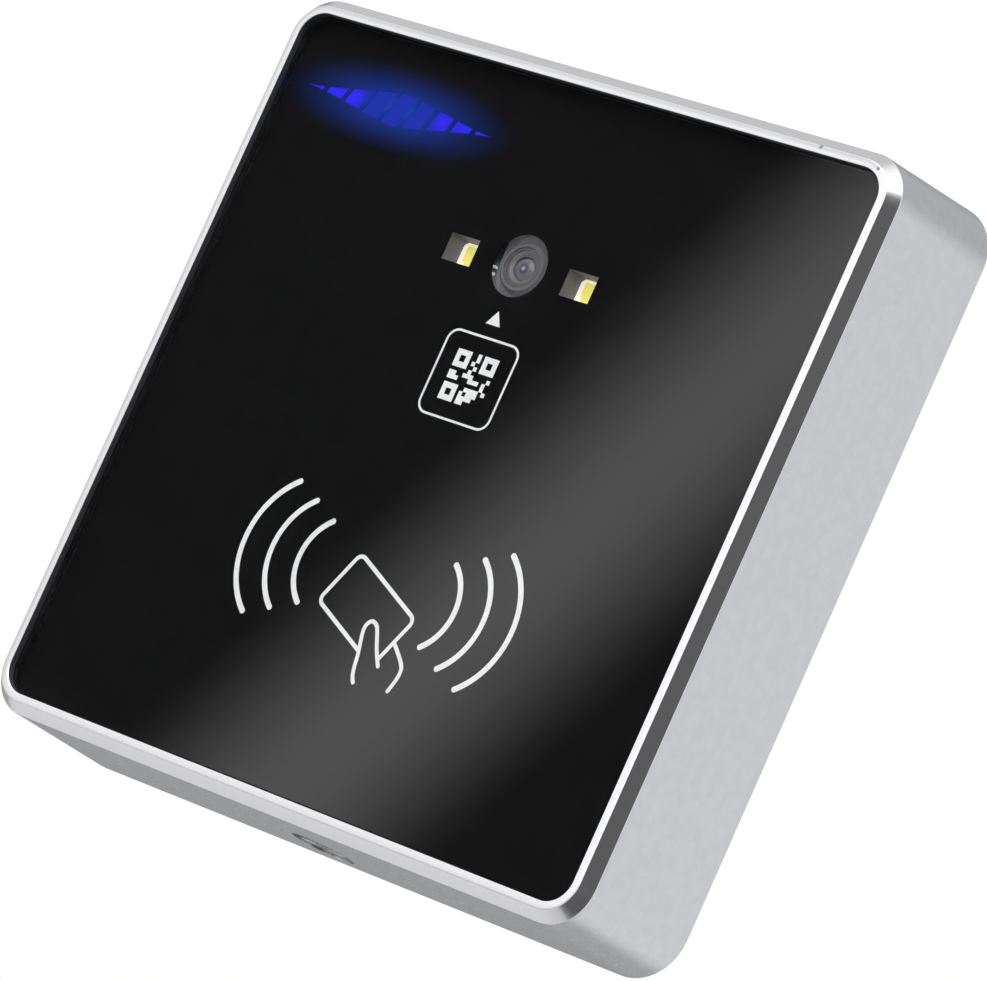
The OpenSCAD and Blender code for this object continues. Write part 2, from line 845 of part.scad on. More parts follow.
module engine_screws() {
    end_room = 0.6;
    color("gainsboro")
        upright()
            translate([0, camera_y, sensor_board_back])
                pair(spacer_pitch)
                    pan_screw(board_screw_d, 1.8 * board_screw_d, 0.55 * board_screw_d,
                        sensor_board_t + board_back - sensor_face - end_room);
}

module buzzer() {
    sound_d = 2;
    color([0.1, 0.1, 0.1])
        upright()
            translate([buzzer_at[0], buzzer_at[1], board_back - buzzer_h])
                difference() {
                    bar(buzzer_d, 0, buzzer_h);
                    bar(sound_d, -through, buzzer_h / 2);
                }
}

module supply_capacitor() {
    foot_t = 1;
    foot_margin = 0.15;
    foot_w = capacitor_d + 2 * foot_margin;
    color([0.7, 0.7, 0.72])
        upright()
            translate([capacitor_at[0], capacitor_at[1], board_back]) {
                bar(capacitor_d, -capacitor_h, -foot_t);
                plate(foot_w, foot_w, -foot_t, 0);
            }
}

module decoder_chip() {
    chip_t = 1.3;
    color([0.12, 0.12, 0.13])
        upright()
            translate(decoder_at)
                plate(decoder_w, decoder_w, board_back - chip_t, board_back);
}

module rfid_chip() {
    chip_t = 1;
    color([0.12, 0.12, 0.13])
        upright()
            translate(card_chip_at)
                plate(card_chip_w, card_chip_w, board_back - chip_t, board_back);
}

module wire_connector() {
    shell = 0.8;
    floor_t = 1.4;
    key_w = 1.6;
    color([0.92, 0.9, 0.84])
        upright()
            translate([0, connector_y, board_back - connector_h])
                difference() {
                    plate(connector_w, connector_d, 0, connector_h);
                    plate(connector_w - 2 * shell, connector_d - 2 * shell, -through, connector_h - floor_t);
                    pair((pin_count - 3) * pin_pitch)
                        translate([0, connector_d / 2, 0])
                            plate(key_w, 2 * shell + through, -through, connector_h / 2);
                    for (i = [0 : pin_count - 1])
                        translate([(i - (pin_count - 1) / 2) * pin_pitch, 0, 0])
                            plate(pin_w, pin_w, 0, connector_h + through);
                }
}

module connector_pins() {
    pin_recess = 0.8;
    color("gold")
        upright()
            for (i = [0 : pin_count - 1])
                translate([(i - (pin_count - 1) / 2) * pin_pitch, connector_y, 0])
                    plate(pin_w, pin_w, board_back - connector_h + pin_recess, board_back);
}

module board_screws() {
    color("gainsboro")
        upright()
            translate([0, 0, board_back])
                corners(board_screw_x, board_screw_y)
                    pan_screw(board_screw_d, 1.8 * board_screw_d, 0.6 * board_screw_d,
                        board_t + board_screw_grip);
}

module rear_cover() {
    pocket_roof = 0.8;
    slide_room = 2.5;
    hook_room = 0.15;
    hook_slot_w = hook_w + 1;
    hook_slot_low = hook_y - slide_room;
    hook_slot_high = hook_y + bracket_t + hook_room;
    color([0.16, 0.16, 0.17])
        upright()
            difference() {
                union() {
                    rounded_plate(cover_half, cover_r, cover_back, cover_front);
                    translate([0, (lock_pocket_out - cover_half) / 2, 0])
                        plate(lock_pocket_w + 2 * lock_wall, lock_pocket_out + cover_half,
                            cover_back, lock_pocket_front + pocket_roof);
                }
                translate([0, (lock_pocket_y - cover_half - through) / 2, 0])
                    plate(lock_pocket_w, lock_pocket_y + cover_half + through,
                        cover_back - through, lock_pocket_front);
                corners(boss_c, boss_c) {
                    bar(cover_screw_d + 2 * pass_gap, cover_back - through, cover_front + through);
                    translate([0, 0, cover_back])
                        cylinder(d1 = cover_csk_d, d2 = cover_screw_d + 2 * pass_gap, h = cover_csk_h);
                }
                translate([0, (hook_slot_low + hook_slot_high) / 2, 0])
                    pair(hook_pitch)
                        plate(hook_slot_w, hook_slot_high - hook_slot_low, cover_back - through,
                            cover_front + through);
                translate([0, connector_y, 0])
                    plate(connector_w + 2 * connector_room, connector_d + 2 * connector_room,
                        cover_back - through, cover_front + through);
            }
}

module cover_screws() {
    head_fit = 0.06;
    socket_depth = 0.6;
    color("gainsboro")
        upright()
            corners(boss_c, boss_c)
                difference() {
                    union() {
                        translate([0, 0, cover_back])
                            cylinder(d1 = cover_csk_d - 2 * head_fit, d2 = cover_screw_d, h = cover_csk_h);
                        bar(cover_screw_d, cover_back + cover_csk_h, cover_front + cover_screw_grip);
                    }
                    bar(cover_screw_d, cover_back - through, cover_back + socket_depth, $fn = 6);
                }
}

module wall_bracket() {
    plate_r = 3;
    opening_r = 4;
    lance_w = hook_w + 0.6;
    lance_h = hook_h + 1;
    color([0.72, 0.73, 0.75])
        upright()
            difference() {
                union() {
                    rounded_block(bracket_half_w, bracket_half_h, plate_r, [[0, 0], [0, bracket_t]]);
                    translate([0, hook_y, 0])
                        pair(hook_pitch) {
                            translate([-hook_w / 2, 0, 0])
                                cube([hook_w, bracket_t, hook_back + bracket_t]);
                            translate([-hook_w / 2, 0, hook_back])
                                cube([hook_w, hook_h, bracket_t]);
                        }
                    translate([-lug_w / 2, lug_y, 0])
                        cube([lug_w, -bracket_half_h - lug_y + through, bracket_t]);
                    translate([-lug_w / 2, lug_y, 0])
                        cube([lug_w, bracket_t, lug_front]);
                }
                translate([0, hook_y + bracket_t + lance_h / 2, 0])
                    pair(hook_pitch)
                        plate(lance_w, lance_h, -through, bracket_t + hang_gap / 2);
                translate([0, wire_opening_y, 0])
                    rounded_block(wire_opening_w / 2, wire_opening_h / 2, opening_r,
                        [[0, -through], [0, bracket_t + through]]);
                pair(slot_spacing)
                    slot(slot_length, slot_w, -through, bracket_t + through);
                translate([0, lug_y, lock_z])
                    rotate([-90, 0, 0])
                        bar(lock_screw_d + 2 * thread_gap, -through, bracket_t + through);
            }
}

module lock_screw() {
    head_recess = 0.1;
    color("gainsboro")
        upright()
            translate([0, lock_floor_y, lock_z])
                rotate([-90, 0, 0])
                    pan_screw(lock_screw_d, lock_head_d, lock_recess - head_recess, lock_screw_l);
}

housing();
front_glass();
mask_film();
glass_tape();
main_board();
antenna_coil();
fill_leds();
led_phosphors();
light_baffle();
indicator_leds();
indicator_diffuser();
chip_capacitors();
lens_holder();
lens_barrel();
front_lens();
image_sensor();
sensor_board();
engine_connector();
engine_spacers();
engine_screws();
buzzer();
supply_capacitor();
decoder_chip();
rfid_chip();
wire_connector();
connector_pins();
board_screws();
rear_cover();
cover_screws();
wall_bracket();
lock_screw();
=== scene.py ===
"""Dresses the wall reader: its finishes, the printed signs on its mask, the studio and the camera."""

import logging
import math
from dataclasses import dataclass
from enum import Enum
from typing import Any, Iterable, Sequence

import bmesh
import bpy
from mathutils import Matrix, Vector


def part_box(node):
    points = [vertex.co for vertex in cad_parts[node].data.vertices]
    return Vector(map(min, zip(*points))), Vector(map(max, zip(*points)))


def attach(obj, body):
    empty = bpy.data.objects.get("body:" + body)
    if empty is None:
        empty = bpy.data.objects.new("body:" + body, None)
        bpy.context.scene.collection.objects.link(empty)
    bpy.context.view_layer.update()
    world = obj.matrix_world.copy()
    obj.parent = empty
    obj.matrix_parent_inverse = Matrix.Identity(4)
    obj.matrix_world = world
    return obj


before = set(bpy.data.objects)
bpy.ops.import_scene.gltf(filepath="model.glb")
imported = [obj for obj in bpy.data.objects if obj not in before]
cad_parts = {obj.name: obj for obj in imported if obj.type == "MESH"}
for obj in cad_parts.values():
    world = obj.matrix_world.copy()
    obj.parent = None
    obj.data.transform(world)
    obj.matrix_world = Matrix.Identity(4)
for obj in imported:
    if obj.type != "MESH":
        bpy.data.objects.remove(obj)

LOG = logging.getLogger("wall_reader")
MM = 0.001
BODY = "root"
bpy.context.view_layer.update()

Point = tuple[float, float]
Triple = tuple[float, float, float]
Colour = Triple
Socket = bpy.types.NodeSocket

BLACK: Colour = (0.0, 0.0, 0.0)
WHITE: Colour = (1.0, 1.0, 1.0)
SQUARE_CORNERS = ((-1, -1), (1, -1), (1, 1), (-1, 1))


def mm(value: float) -> float:
    """Turns millimetres into metres."""
    return value * MM


def cosine(angle: float) -> float:
    """Gives the cosine of an angle in degrees."""
    return math.cos(math.radians(angle))


def srgb(red: int, green: int, blue: int) -> Colour:
    """Turns a colour as it looks on a screen into the linear colour that a shader takes.

    Args:
        red: red level, from 0 to 255.
        green: green level, from 0 to 255.
        blue: blue level, from 0 to 255.

    Returns:
        The linear colour, each channel from 0 to 1.
    """
    shares = (channel / 255 for channel in (red, green, blue))
    return tuple(s / 12.92 if s <= 0.04045 else ((s + 0.055) / 1.055) ** 2.4 for s in shares)


def tint(colour: Colour, factor: float) -> Colour:
    """Makes a colour lighter or darker by a factor."""
    return tuple(min(channel * factor, 1.0) for channel in colour)


def add_object(name: str, data: bpy.types.ID) -> bpy.types.Object:
    """Makes an object and links it to the scene.

    Args:
        name: the object's name.
        data: its mesh, lamp or camera.

    Returns:
        The object.
    """
    made = bpy.data.objects.new(name, data)
    bpy.context.scene.collection.objects.link(made)
    return made


class Bench:
    """A node tree under construction: it makes nodes and wires them by socket name."""

    def __init__(self, tree: bpy.types.NodeTree) -> None:
        """Takes the tree to work on."""
        self.tree = tree

    def put(self, socket: Socket, value: Any) -> None:
        """Links a socket to another node's output, or sets its plain value.

        Args:
            socket: the input socket.
            value: an output socket, a number, a vector or a colour.
        """
        if isinstance(value, Socket):
            self.tree.links.new(value, socket)
        elif socket.type == "RGBA":
            socket.default_value = (*value[:3], 1.0)
        else:
            socket.default_value = value

    def node(self, kind: str, inputs: dict[str | int, Any] | None = None, **settings: Any) -> bpy.types.Node:
        """Adds one node.

        Args:
            kind: the node's type name.
            inputs: socket name or number to value.
            **settings: the node's own properties.

        Returns:
            The new node.
        """
        made = self.tree.nodes.new(kind)
        for key, value in settings.items():
            setattr(made, key, value)
        for key, value in (inputs or {}).items():
            self.put(made.inputs[key], value)
        return made

    def sums(self, operation: str, *values: Any) -> Socket:
        """Works out one sum of numbers with a Math node and gives its result."""
        return self.node("ShaderNodeMath", dict(enumerate(values)), operation=operation).outputs[0]


class ShaderBench(Bench):
    """The tree of a material or of the world under construction."""

    def __init__(self, tree: bpy.types.NodeTree) -> None:
        """Takes the tree to work on."""
        super().__init__(tree)
        self.coordinates = None

    @property
    def shader(self) -> bpy.types.Node:
        """The material's Principled shader."""
        return self.tree.nodes["Principled BSDF"]

    def shade(self, **values: Any) -> None:
        """Sets the Principled shader's sockets by name, with underscores for blanks."""
        for key, value in values.items():
            self.put(self.shader.inputs[key.replace("_", " ")], value)

    def surface(self, share: Socket, first: bpy.types.Node, second: bpy.types.Node) -> None:
        """Makes a mix of two shaders the material's surface.

        Args:
            share: how much of the second, from 0 to 1.
            first: shader at share 0.
            second: shader at share 1.
        """
        mixed = self.node("ShaderNodeMixShader", {0: share, 1: first.outputs[0], 2: second.outputs[0]})
        self.put(self.tree.nodes["Material Output"].inputs["Surface"], mixed.outputs[0])

    def place(self) -> Socket:
        """Gives the surface point in the object's own frame.

        Returns:
            The point, in metres.
        """
        if self.coordinates is None:
            self.coordinates = self.node("ShaderNodeTexCoord")
        return self.coordinates.outputs["Object"]

    def axes(self) -> tuple[Socket, ...]:
        """Gives the surface point's X, Y and Z."""
        return tuple(self.node("ShaderNodeSeparateXYZ", {0: self.place()}).outputs)

    def vectors(self, operation: str, *values: Any) -> bpy.types.Node:
        """Works out one sum of vectors and gives its Vector Math node."""
        return self.node("ShaderNodeVectorMath", dict(enumerate(values)), operation=operation)

    def facing(self, towards: Socket, direction: Sequence[float]) -> Socket:
        """Gives how far a direction points the same way as a fixed one."""
        return self.vectors("DOT_PRODUCT", towards, tuple(direction)).outputs["Value"]

    def away(self, centre: Triple) -> Socket:
        """Gives the surface point's distance from a fixed point, in metres."""
        return self.vectors("DISTANCE", self.place(), centre).outputs["Value"]

    def away_scaled(self, centre: Triple, factors: Triple) -> Socket:
        """Gives the distance from a fixed point after each axis is scaled.

        Args:
            centre: the point, in metres.
            factors: the factor of each axis; 0 leaves the axis out.

        Returns:
            The distance.
        """
        offset = self.vectors("SUBTRACT", self.place(), centre)
        scaled = self.vectors("MULTIPLY", offset.outputs[0], factors)
        return self.vectors("LENGTH", scaled.outputs[0]).outputs["Value"]

    def gap(self, value: Socket, mark: float) -> Socket:
        """Gives how far a value lies from a mark, on either side."""
        return self.sums("ABSOLUTE", self.sums("SUBTRACT", value, mark))

    def span(self, value: Any, low: float, high: float, start: float = 0.0, end: float = 1.0,
             smooth: bool = True) -> Socket:
        """Maps a value from one span to another and stops at both ends.

        Args:
            value: the value to map.
            low: where the span starts.
            high: where it ends; it may be below low.
            start: result at low.
            end: result at high.
            smooth: ease in and out instead of going straight.

        Returns:
            The mapped value.
        """
        kind = "SMOOTHSTEP" if smooth else "LINEAR"
        inputs = {"Value": value, "From Min": low, "From Max": high, "To Min": start, "To Max": end}
        return self.node("ShaderNodeMapRange", inputs, interpolation_type=kind, clamp=True).outputs[0]

    def ramp(self, share: Socket, start: float, end: float) -> Socket:
        """Maps a share from 0 to 1 straight to another span."""
        return self.span(share, 0.0, 1.0, start, end, smooth=False)

    def noise(self, size: float, detail: float = 2.0, stretch: Triple = (1.0, 1.0, 1.0)) -> Socket:
        """Cloudy noise on the object's own coordinates.

        Args:
            size: size of its patches, in metres.
            detail: how many finer layers it has.
            stretch: factors for the three axes; a small one draws the patches out.

        Returns:
            The noise, from 0 to 1.
        """
        at = self.vectors("MULTIPLY", self.place(), stretch).outputs[0]
        inputs = {"Vector": at, "Scale": 1 / size, "Detail": detail}
        return self.node("ShaderNodeTexNoise", inputs).outputs["Fac"]

    def patches(self, size: float, start: float = 0.0, end: float = 1.0, detail: float = 2.0) -> Socket:
        """Soft patches that wander between two values.

        Args:
            size: size of the patches, in metres.
            start: the lowest value.
            end: the highest value.
            detail: how many finer layers they have.

        Returns:
            The value.
        """
        low, high = 0.3, 0.7
        return self.span(self.noise(size, detail), low, high, start, end)

    def cells(self, size: float, feature: str = "F1", metric: str = "EUCLIDEAN") -> Socket:
        """Distance to the nearest point of a scatter, or to the next nearest.

        Args:
            size: distance between points, in metres.
            feature: which distance of the Voronoi pattern.
            metric: how the distance is measured.

        Returns:
            The distance, in cells.
        """
        inputs = {"Vector": self.place(), "Scale": 1 / size}
        made = self.node("ShaderNodeTexVoronoi", inputs, feature=feature, distance=metric)
        return made.outputs["Distance"]

    def past_square(self, half: float, radius: float) -> Socket:
        """Distance outwards from the edge of a square with round corners, seen from the front.

        Args:
            half: half of the square's side, in metres.
            radius: its corner radius.

        Returns:
            The distance, negative inside the edge.
        """
        x, _, z = self.axes()
        reach = [self.sums("SUBTRACT", self.sums("ABSOLUTE", off), half - radius) for off in (x, z)]
        past = [self.sums("MAXIMUM", off, 0.0) for off in reach]
        squares = self.sums("ADD", *(self.sums("MULTIPLY", off, off) for off in past))
        return self.sums("SUBTRACT", self.sums("SQRT", squares), radius)

    def blend(self, share: Any, first: Any, second: Any, colour: bool = True) -> Socket:
        """Mixes two colours or two numbers.

        Args:
            share: how much of the second, from 0 to 1.
            first: colour or number at share 0.
            second: colour or number at share 1.
            colour: True to mix colours.

        Returns:
            The mix.
        """
        made = self.node("ShaderNodeMix", data_type="RGBA" if colour else "FLOAT")
        sockets = [s for s in made.inputs if s.enabled]
        for socket, value in zip(sockets, (share, first, second)):
            self.put(socket, value)
        return next(s for s in made.outputs if s.enabled)

    def bump(self, height: Any, depth: float, strength: Any = 1.0, under: Socket | None = None) -> Socket:
        """Turns a height into a surface normal.

        Args:
            height: the height, from 0 to 1.
            depth: what a height of 1 measures, in metres.
            strength: how strongly it shows.
            under: a normal to add it to.

        Returns:
            The normal.
        """
        inputs = {"Height": height, "Distance": depth, "Strength": strength}
        if under is not None:
            inputs["Normal"] = under
        return self.node("ShaderNodeBump", inputs).outputs[0]


@dataclass(frozen=True)
class Finish:
    """A plain finish: one colour that clouds a little, a sheen that varies, a fine grain and, where lit is
    set, a painted glow.
    """

    name: str
    colour: Colour
    roughness: float = 0.5
    metallic: float = 0.0
    cloud: float = 0.12
    cloud_size: float = mm(3.0)
    cloud_detail: float = 3.0
    sheen_spread: float = 0.06
    sheen_scale: float = 0.6
    grain_size: float = mm(0.2)
    grain_depth: float = mm(0.008)
    # Strength of a painted glow: emission in the finish's own colour, standing in for light on the part.
    lit: float = 0.0

    def material(self) -> bpy.types.Material:
        """Builds the finish as a material.

        Returns:
            The new material.
        """
        made = bpy.data.materials.new(self.name)
        made.use_nodes = True
        self.dress(ShaderBench(made.node_tree))
        return made

    def clouded(self, bench: ShaderBench) -> Socket:
        """Gives the colour with its soft clouds."""
        cloud = bench.patches(self.cloud_size, detail=self.cloud_detail)
        return bench.blend(cloud, tint(self.colour, 1 - self.cloud), tint(self.colour, 1 + self.cloud))

    def worn(self, bench: ShaderBench) -> Socket:
        """Gives the roughness, which wanders a little."""
        low, high = self.roughness - self.sheen_spread, self.roughness + self.sheen_spread
        return bench.patches(self.cloud_size * self.sheen_scale, max(low, 0.0), min(high, 1.0))

    def grain(self, bench: ShaderBench) -> Socket:
        """Gives the normal of the fine grain."""
        return bench.bump(bench.noise(self.grain_size), self.grain_depth)

    def dress(self, bench: ShaderBench) -> None:
        """Wires the finish to the shader.

        Args:
            bench: the material's bench.
        """
        colour = self.clouded(bench)
        # The emission by lit is a painted glow.
        bench.shade(Base_Color=colour, Roughness=self.worn(bench), Metallic=self.metallic,
                    Normal=self.grain(bench), Emission_Color=colour, Emission_Strength=self.lit)


@dataclass(frozen=True)
class CastAlloy(Finish):
    """Cast housing: blasted satin sides, and a chamfer and rim that were cut bright afterwards; the rim also
    bears a painted highlight and painted shade.
    """

    cut_colour: Colour = srgb(240, 240, 243)
    cut_roughness: float = 0.16
    cut_blur: float = mm(0.03)
    chamfer_y: float = mm(-16.25)

    # The rim's two colours are painted light: a painted highlight along the glass that turns into painted
    # shade outwards.
    rim_highlight: Colour = srgb(236, 236, 238)
    rim_shade: Colour = srgb(194, 194, 196)
    rim_roughness: float = 0.5
    rim_y: float = mm(-17.7)
    rim_band: Point = (mm(0.12), mm(0.09))
    rim_w: float = mm(0.8)
    # Where the rim's painted shade gives way on the right and bottom, and how much of it stays at the bottom.
    run_start: float = mm(38.0)
    low_shade_share: float = 0.45

    pocket_colour: Colour = srgb(84, 85, 89)
    pocket_roughness: float = 0.9
    pocket_half: float = mm(40.2)
    pocket_r: float = mm(3.0)
    pocket_band: Point = (mm(0.09), mm(0.03))

    line_size: float = mm(0.12)
    line_stretch: Triple = (1.0, 6.0, 1.0)
    line_depth: float = mm(0.0012)
    line_strength: float = 0.5
    fine_detail: float = 1.0

    nicks: tuple[Point, ...] = ((31.2, 40.9), (38.9, 40.4))
    nick_r: float = mm(0.22)
    nick_grain: float = mm(0.2)
    nick_tint: float = 0.3

    def rim_painted_light(self, bench: ShaderBench, past: Socket) -> Socket:
        """Gives the rim's colour: a painted highlight along the glass and painted shade outwards, left off on
        the right and weaker at the bottom.

        Args:
            bench: the material's bench.
            past: distance outwards from the pocket's edge.

        Returns:
            The colour.
        """
        x, _, z = bench.axes()
        right = bench.span(x, self.run_start, self.pocket_half, 1.0, 0.0)
        low = bench.span(z, -self.run_start, -self.pocket_half, 1.0, self.low_shade_share)
        outwards = bench.span(past, 0.0, self.rim_w, smooth=False)
        # Painted shade outwards from the glass, none on the right and less at the bottom.
        painted_rim_shade = bench.sums("MULTIPLY", outwards, bench.sums("MULTIPLY", right, low))
        return bench.blend(painted_rim_shade, self.rim_highlight, self.rim_shade)

    def nick(self, bench: ShaderBench, x: float, z: float) -> Socket:
        """Marks one ragged nick on the rim.

        Args:
            bench: the material's bench.
            x: its place across, in millimetres.
            z: its place upwards, in millimetres.

        Returns:
            The mark, 1 in the nick.
        """
        ragged = bench.ramp(bench.noise(self.nick_grain), 0.0, self.nick_r)
        off = bench.sums("ADD", bench.away((mm(x), self.rim_y, mm(z))), ragged)
        return bench.span(off, 2 * self.nick_r, self.nick_r)

    def dress(self, bench: ShaderBench) -> None:
        """Wires the finish to the shader.

        Args:
            bench: the material's bench.
        """
        depth = bench.axes()[1]
        past = bench.past_square(self.pocket_half, self.pocket_r)
        cut = bench.span(depth, self.chamfer_y, self.chamfer_y - self.cut_blur)
        rim = bench.span(depth, *(self.rim_y + edge for edge in self.rim_band))
        inside = bench.sums("MULTIPLY", cut, bench.span(past, *self.pocket_band))
        pocket = bench.sums("MULTIPLY", inside, bench.sums("SUBTRACT", 1.0, rim))
        # The cut zone's colour, with the rim's painted highlight and painted shade.
        bright = bench.blend(rim, self.cut_colour, self.rim_painted_light(bench, past))
        colour = bench.blend(cut, self.clouded(bench), bright)
        colour = bench.blend(pocket, colour, self.pocket_colour)
        for x, z in self.nicks:
            colour = bench.blend(self.nick(bench, x, z), colour, tint(self.cut_colour, self.nick_tint))
        smooth = bench.blend(rim, self.cut_roughness, self.rim_roughness, colour=False)
        rough = bench.blend(cut, self.worn(bench), smooth, colour=False)
        blasting = bench.noise(self.grain_size, self.fine_detail)
        blasted = bench.bump(blasting, self.grain_depth, bench.ramp(cut, 1.0, 0.0))
        lines = bench.noise(self.line_size, self.fine_detail, self.line_stretch)
        lined = bench.bump(lines, self.line_depth, bench.ramp(cut, 0.0, self.line_strength), blasted)
        bench.shade(Base_Color=colour, Metallic=1.0, Normal=lined,
                    Roughness=bench.blend(pocket, rough, self.pocket_roughness, colour=False))


@dataclass(frozen=True)
class ClearGlass(Finish):
    """Polished clear glass with the faintest clouds, bonded at its back, which therefore mirrors nothing."""

    ior: float = 1.5
    back_y: float = mm(-15.0)
    back_band: Point = (mm(-0.02), mm(-0.01))

    def dress(self, bench: ShaderBench) -> None:
        """Wires the finish to the shader.

        Args:
            bench: the material's bench.
        """
        bench.shade(Base_Color=self.clouded(bench), Roughness=self.roughness, IOR=self.ior,
                    Transmission_Weight=1.0)
        clear = {"Color": WHITE, "IOR": self.ior, "Roughness": self.roughness}
        back = bench.span(bench.axes()[1], *(self.back_y + edge for edge in self.back_band))
        bench.surface(back, bench.shader, bench.node("ShaderNodeBsdfRefraction", clear))


@dataclass(frozen=True)
class MaskFilm(Finish):
    """Black mask behind the glass, with a soft halo where the indicator's light spreads in it."""

    glow: Colour = srgb(20, 66, 185)
    glow_level: float = 1.0
    glow_centre: Point = (mm(-24.3), mm(32.6))
    glow_reach: Point = (mm(15.5), mm(4.6))
    glow_edge: float = 1.1
    glow_fall: float = 1.7
    patch_size: float = mm(2.5)
    patch_levels: Point = (0.85, 1.15)

    def dress(self, bench: ShaderBench) -> None:
        """Wires the finish to the shader.

        Args:
            bench: the material's bench.
        """
        (x, z), (reach_x, reach_z) = self.glow_centre, self.glow_reach
        away = bench.away_scaled((x, 0.0, z), (1 / reach_x, 0.0, 1 / reach_z))
        fade = bench.sums("POWER", bench.span(away, self.glow_edge, 0.0, smooth=False), self.glow_fall)
        level = bench.sums("MULTIPLY", fade, bench.ramp(bench.noise(self.patch_size), *self.patch_levels))
        bench.shade(Base_Color=self.clouded(bench), Roughness=self.worn(bench), Specular_IOR_Level=0.0,
                    Emission_Color=bench.blend(level, BLACK, self.glow), Emission_Strength=self.glow_level)


@dataclass(frozen=True)
class LitDiffuser(Finish):
    """Milky bar lit from behind, brightest towards its two ends and along its middle line."""

    glow: Colour = srgb(52, 44, 255)
    dim: Colour = srgb(34, 30, 190)
    middle: Colour = srgb(28, 48, 176)
    level: float = 0.95
    centre: Point = (mm(-24.3), mm(32.6))
    half_height: float = mm(2.0)
    middle_half: Point = (mm(4.4), mm(6.4))
    patch_size: float = mm(4.0)
    patch_detail: float = 0.0
    patch_span: Point = (0.2, 0.8)
    patch_levels: Point = (0.7, 1.0)

    def dress(self, bench: ShaderBench) -> None:
        """Wires the finish to the shader.

        Args:
            bench: the material's bench.
        """
        x, _, z = bench.axes()
        aside, above = bench.gap(x, self.centre[0]), bench.gap(z, self.centre[1])
        patchy = bench.span(bench.noise(self.patch_size, self.patch_detail), *self.patch_span,
                            *self.patch_levels)
        bright = bench.sums("MULTIPLY", bench.span(above, self.half_height, 0.0), patchy)
        ends = bench.blend(bright, self.dim, self.glow)
        lit = bench.blend(bench.span(aside, *self.middle_half), self.middle, ends)
        bench.shade(Base_Color=self.clouded(bench), Roughness=self.worn(bench), Specular_IOR_Level=0.0,
                    Emission_Color=lit, Emission_Strength=self.level)


@dataclass(frozen=True)
class SolderMask(Finish):
    """Circuit board: green lacquer over straight copper tracks, with bare pads."""

    track_size: float = mm(1.3)
    track_edge: Point = (0.07, 0.12)
    track_tint: float = 1.7
    track_height: float = mm(-0.02)
    track_strength: float = 0.6
    pad: Colour = srgb(196, 190, 172)
    pad_size: float = mm(2.6)
    pad_edge: Point = (0.16, 0.13)
    pad_metal: float = 0.9

    def dress(self, bench: ShaderBench) -> None:
        """Wires the finish to the shader.

        Args:
            bench: the material's bench.
        """
        near, next_near = (bench.cells(self.track_size, feature, "CHEBYCHEV") for feature in ("F1", "F2"))
        net = bench.span(bench.sums("SUBTRACT", next_near, near), *self.track_edge)
        tracked = bench.blend(net, tint(self.colour, self.track_tint), self.clouded(bench))
        pad = bench.span(bench.cells(self.pad_size), *self.pad_edge)
        bench.shade(Base_Color=bench.blend(pad, tracked, self.pad), Roughness=self.worn(bench),
                    Metallic=bench.ramp(pad, 0.0, self.pad_metal),
                    Normal=bench.bump(net, self.track_height, self.track_strength, self.grain(bench)))


@dataclass(frozen=True)
class TurnedRings(Finish):
    """Turned lens parts: fine rings about the lens's axis with painted highlights on their crests, painted
    shade that may darken the colour between two radii, and a painted glow where lit is set.
    """

    axis_z: float = mm(20.4)
    pitch: float = mm(0.22)
    ring_depth: float = mm(0.02)
    ring_strength: float = 0.7
    # Painted highlights on the rings' crests: how much of the lighter tint each crest gets, and the tint.
    ring_highlight_share: float = 0.6
    ring_highlight_tint: float = 1.45
    # Painted shade that darkens the colour between the two radii.
    painted_darkening: float = 0.0
    painted_shade_span: Point = (mm(1.5), mm(2.4))

    def radius(self, bench: ShaderBench) -> Socket:
        """Gives the distance from the lens's axis, in metres."""
        return bench.away_scaled((0.0, 0.0, self.axis_z), (1.0, 0.0, 1.0))

    def dress(self, bench: ShaderBench) -> None:
        """Wires the finish to the shader.

        Args:
            bench: the material's bench.
        """
        radius = self.radius(bench)
        turns = bench.sums("MULTIPLY", radius, math.tau / self.pitch)
        ring = bench.span(bench.sums("SINE", turns), -1.0, 1.0)
        # Painted highlight on each ring's crest.
        ring_highlight = bench.span(ring, 0.0, 1.0, 0.0, self.ring_highlight_share)
        rings_painted_light = bench.blend(ring_highlight, self.clouded(bench), tint(self.colour, self.ring_highlight_tint))
        # Painted shade between the two radii.
        rings_painted_light = bench.blend(bench.span(radius, *self.painted_shade_span, 0.0, self.painted_darkening), rings_painted_light, BLACK)
        # The emission by lit is a painted glow.
        bench.shade(Base_Color=rings_painted_light, Roughness=self.worn(bench), Metallic=self.metallic,
                    Emission_Color=rings_painted_light, Emission_Strength=self.lit,
                    Normal=bench.bump(ring, self.ring_depth, self.ring_strength, self.grain(bench)))


@dataclass(frozen=True)
class CoatedLens(TurnedRings):
    """Front lens with a violet coating that is deepest in the middle."""

    ior: float = 1.6
    spot: Colour = srgb(152, 142, 188)
    spot_r: float = mm(0.34)
    spot_core: float = 0.4
    pupil: Colour = srgb(58, 52, 76)
    pupil_r: float = mm(0.68)
    pupil_core: float = 0.7
    sheen_size: float = mm(0.4)
    sheen: Point = (0.3, 0.4)

    def dress(self, bench: ShaderBench) -> None:
        """Wires the finish to the shader.

        Args:
            bench: the material's bench.
        """
        radius = self.radius(bench)
        pupil = bench.span(radius, self.pupil_r, self.pupil_r * self.pupil_core)
        spot = bench.span(radius, self.spot_r, self.spot_r * self.spot_core)
        colour = bench.blend(spot, bench.blend(pupil, self.clouded(bench), self.pupil), self.spot)
        bench.shade(Base_Color=colour, IOR=self.ior, Roughness=bench.patches(self.sheen_size, *self.sheen))


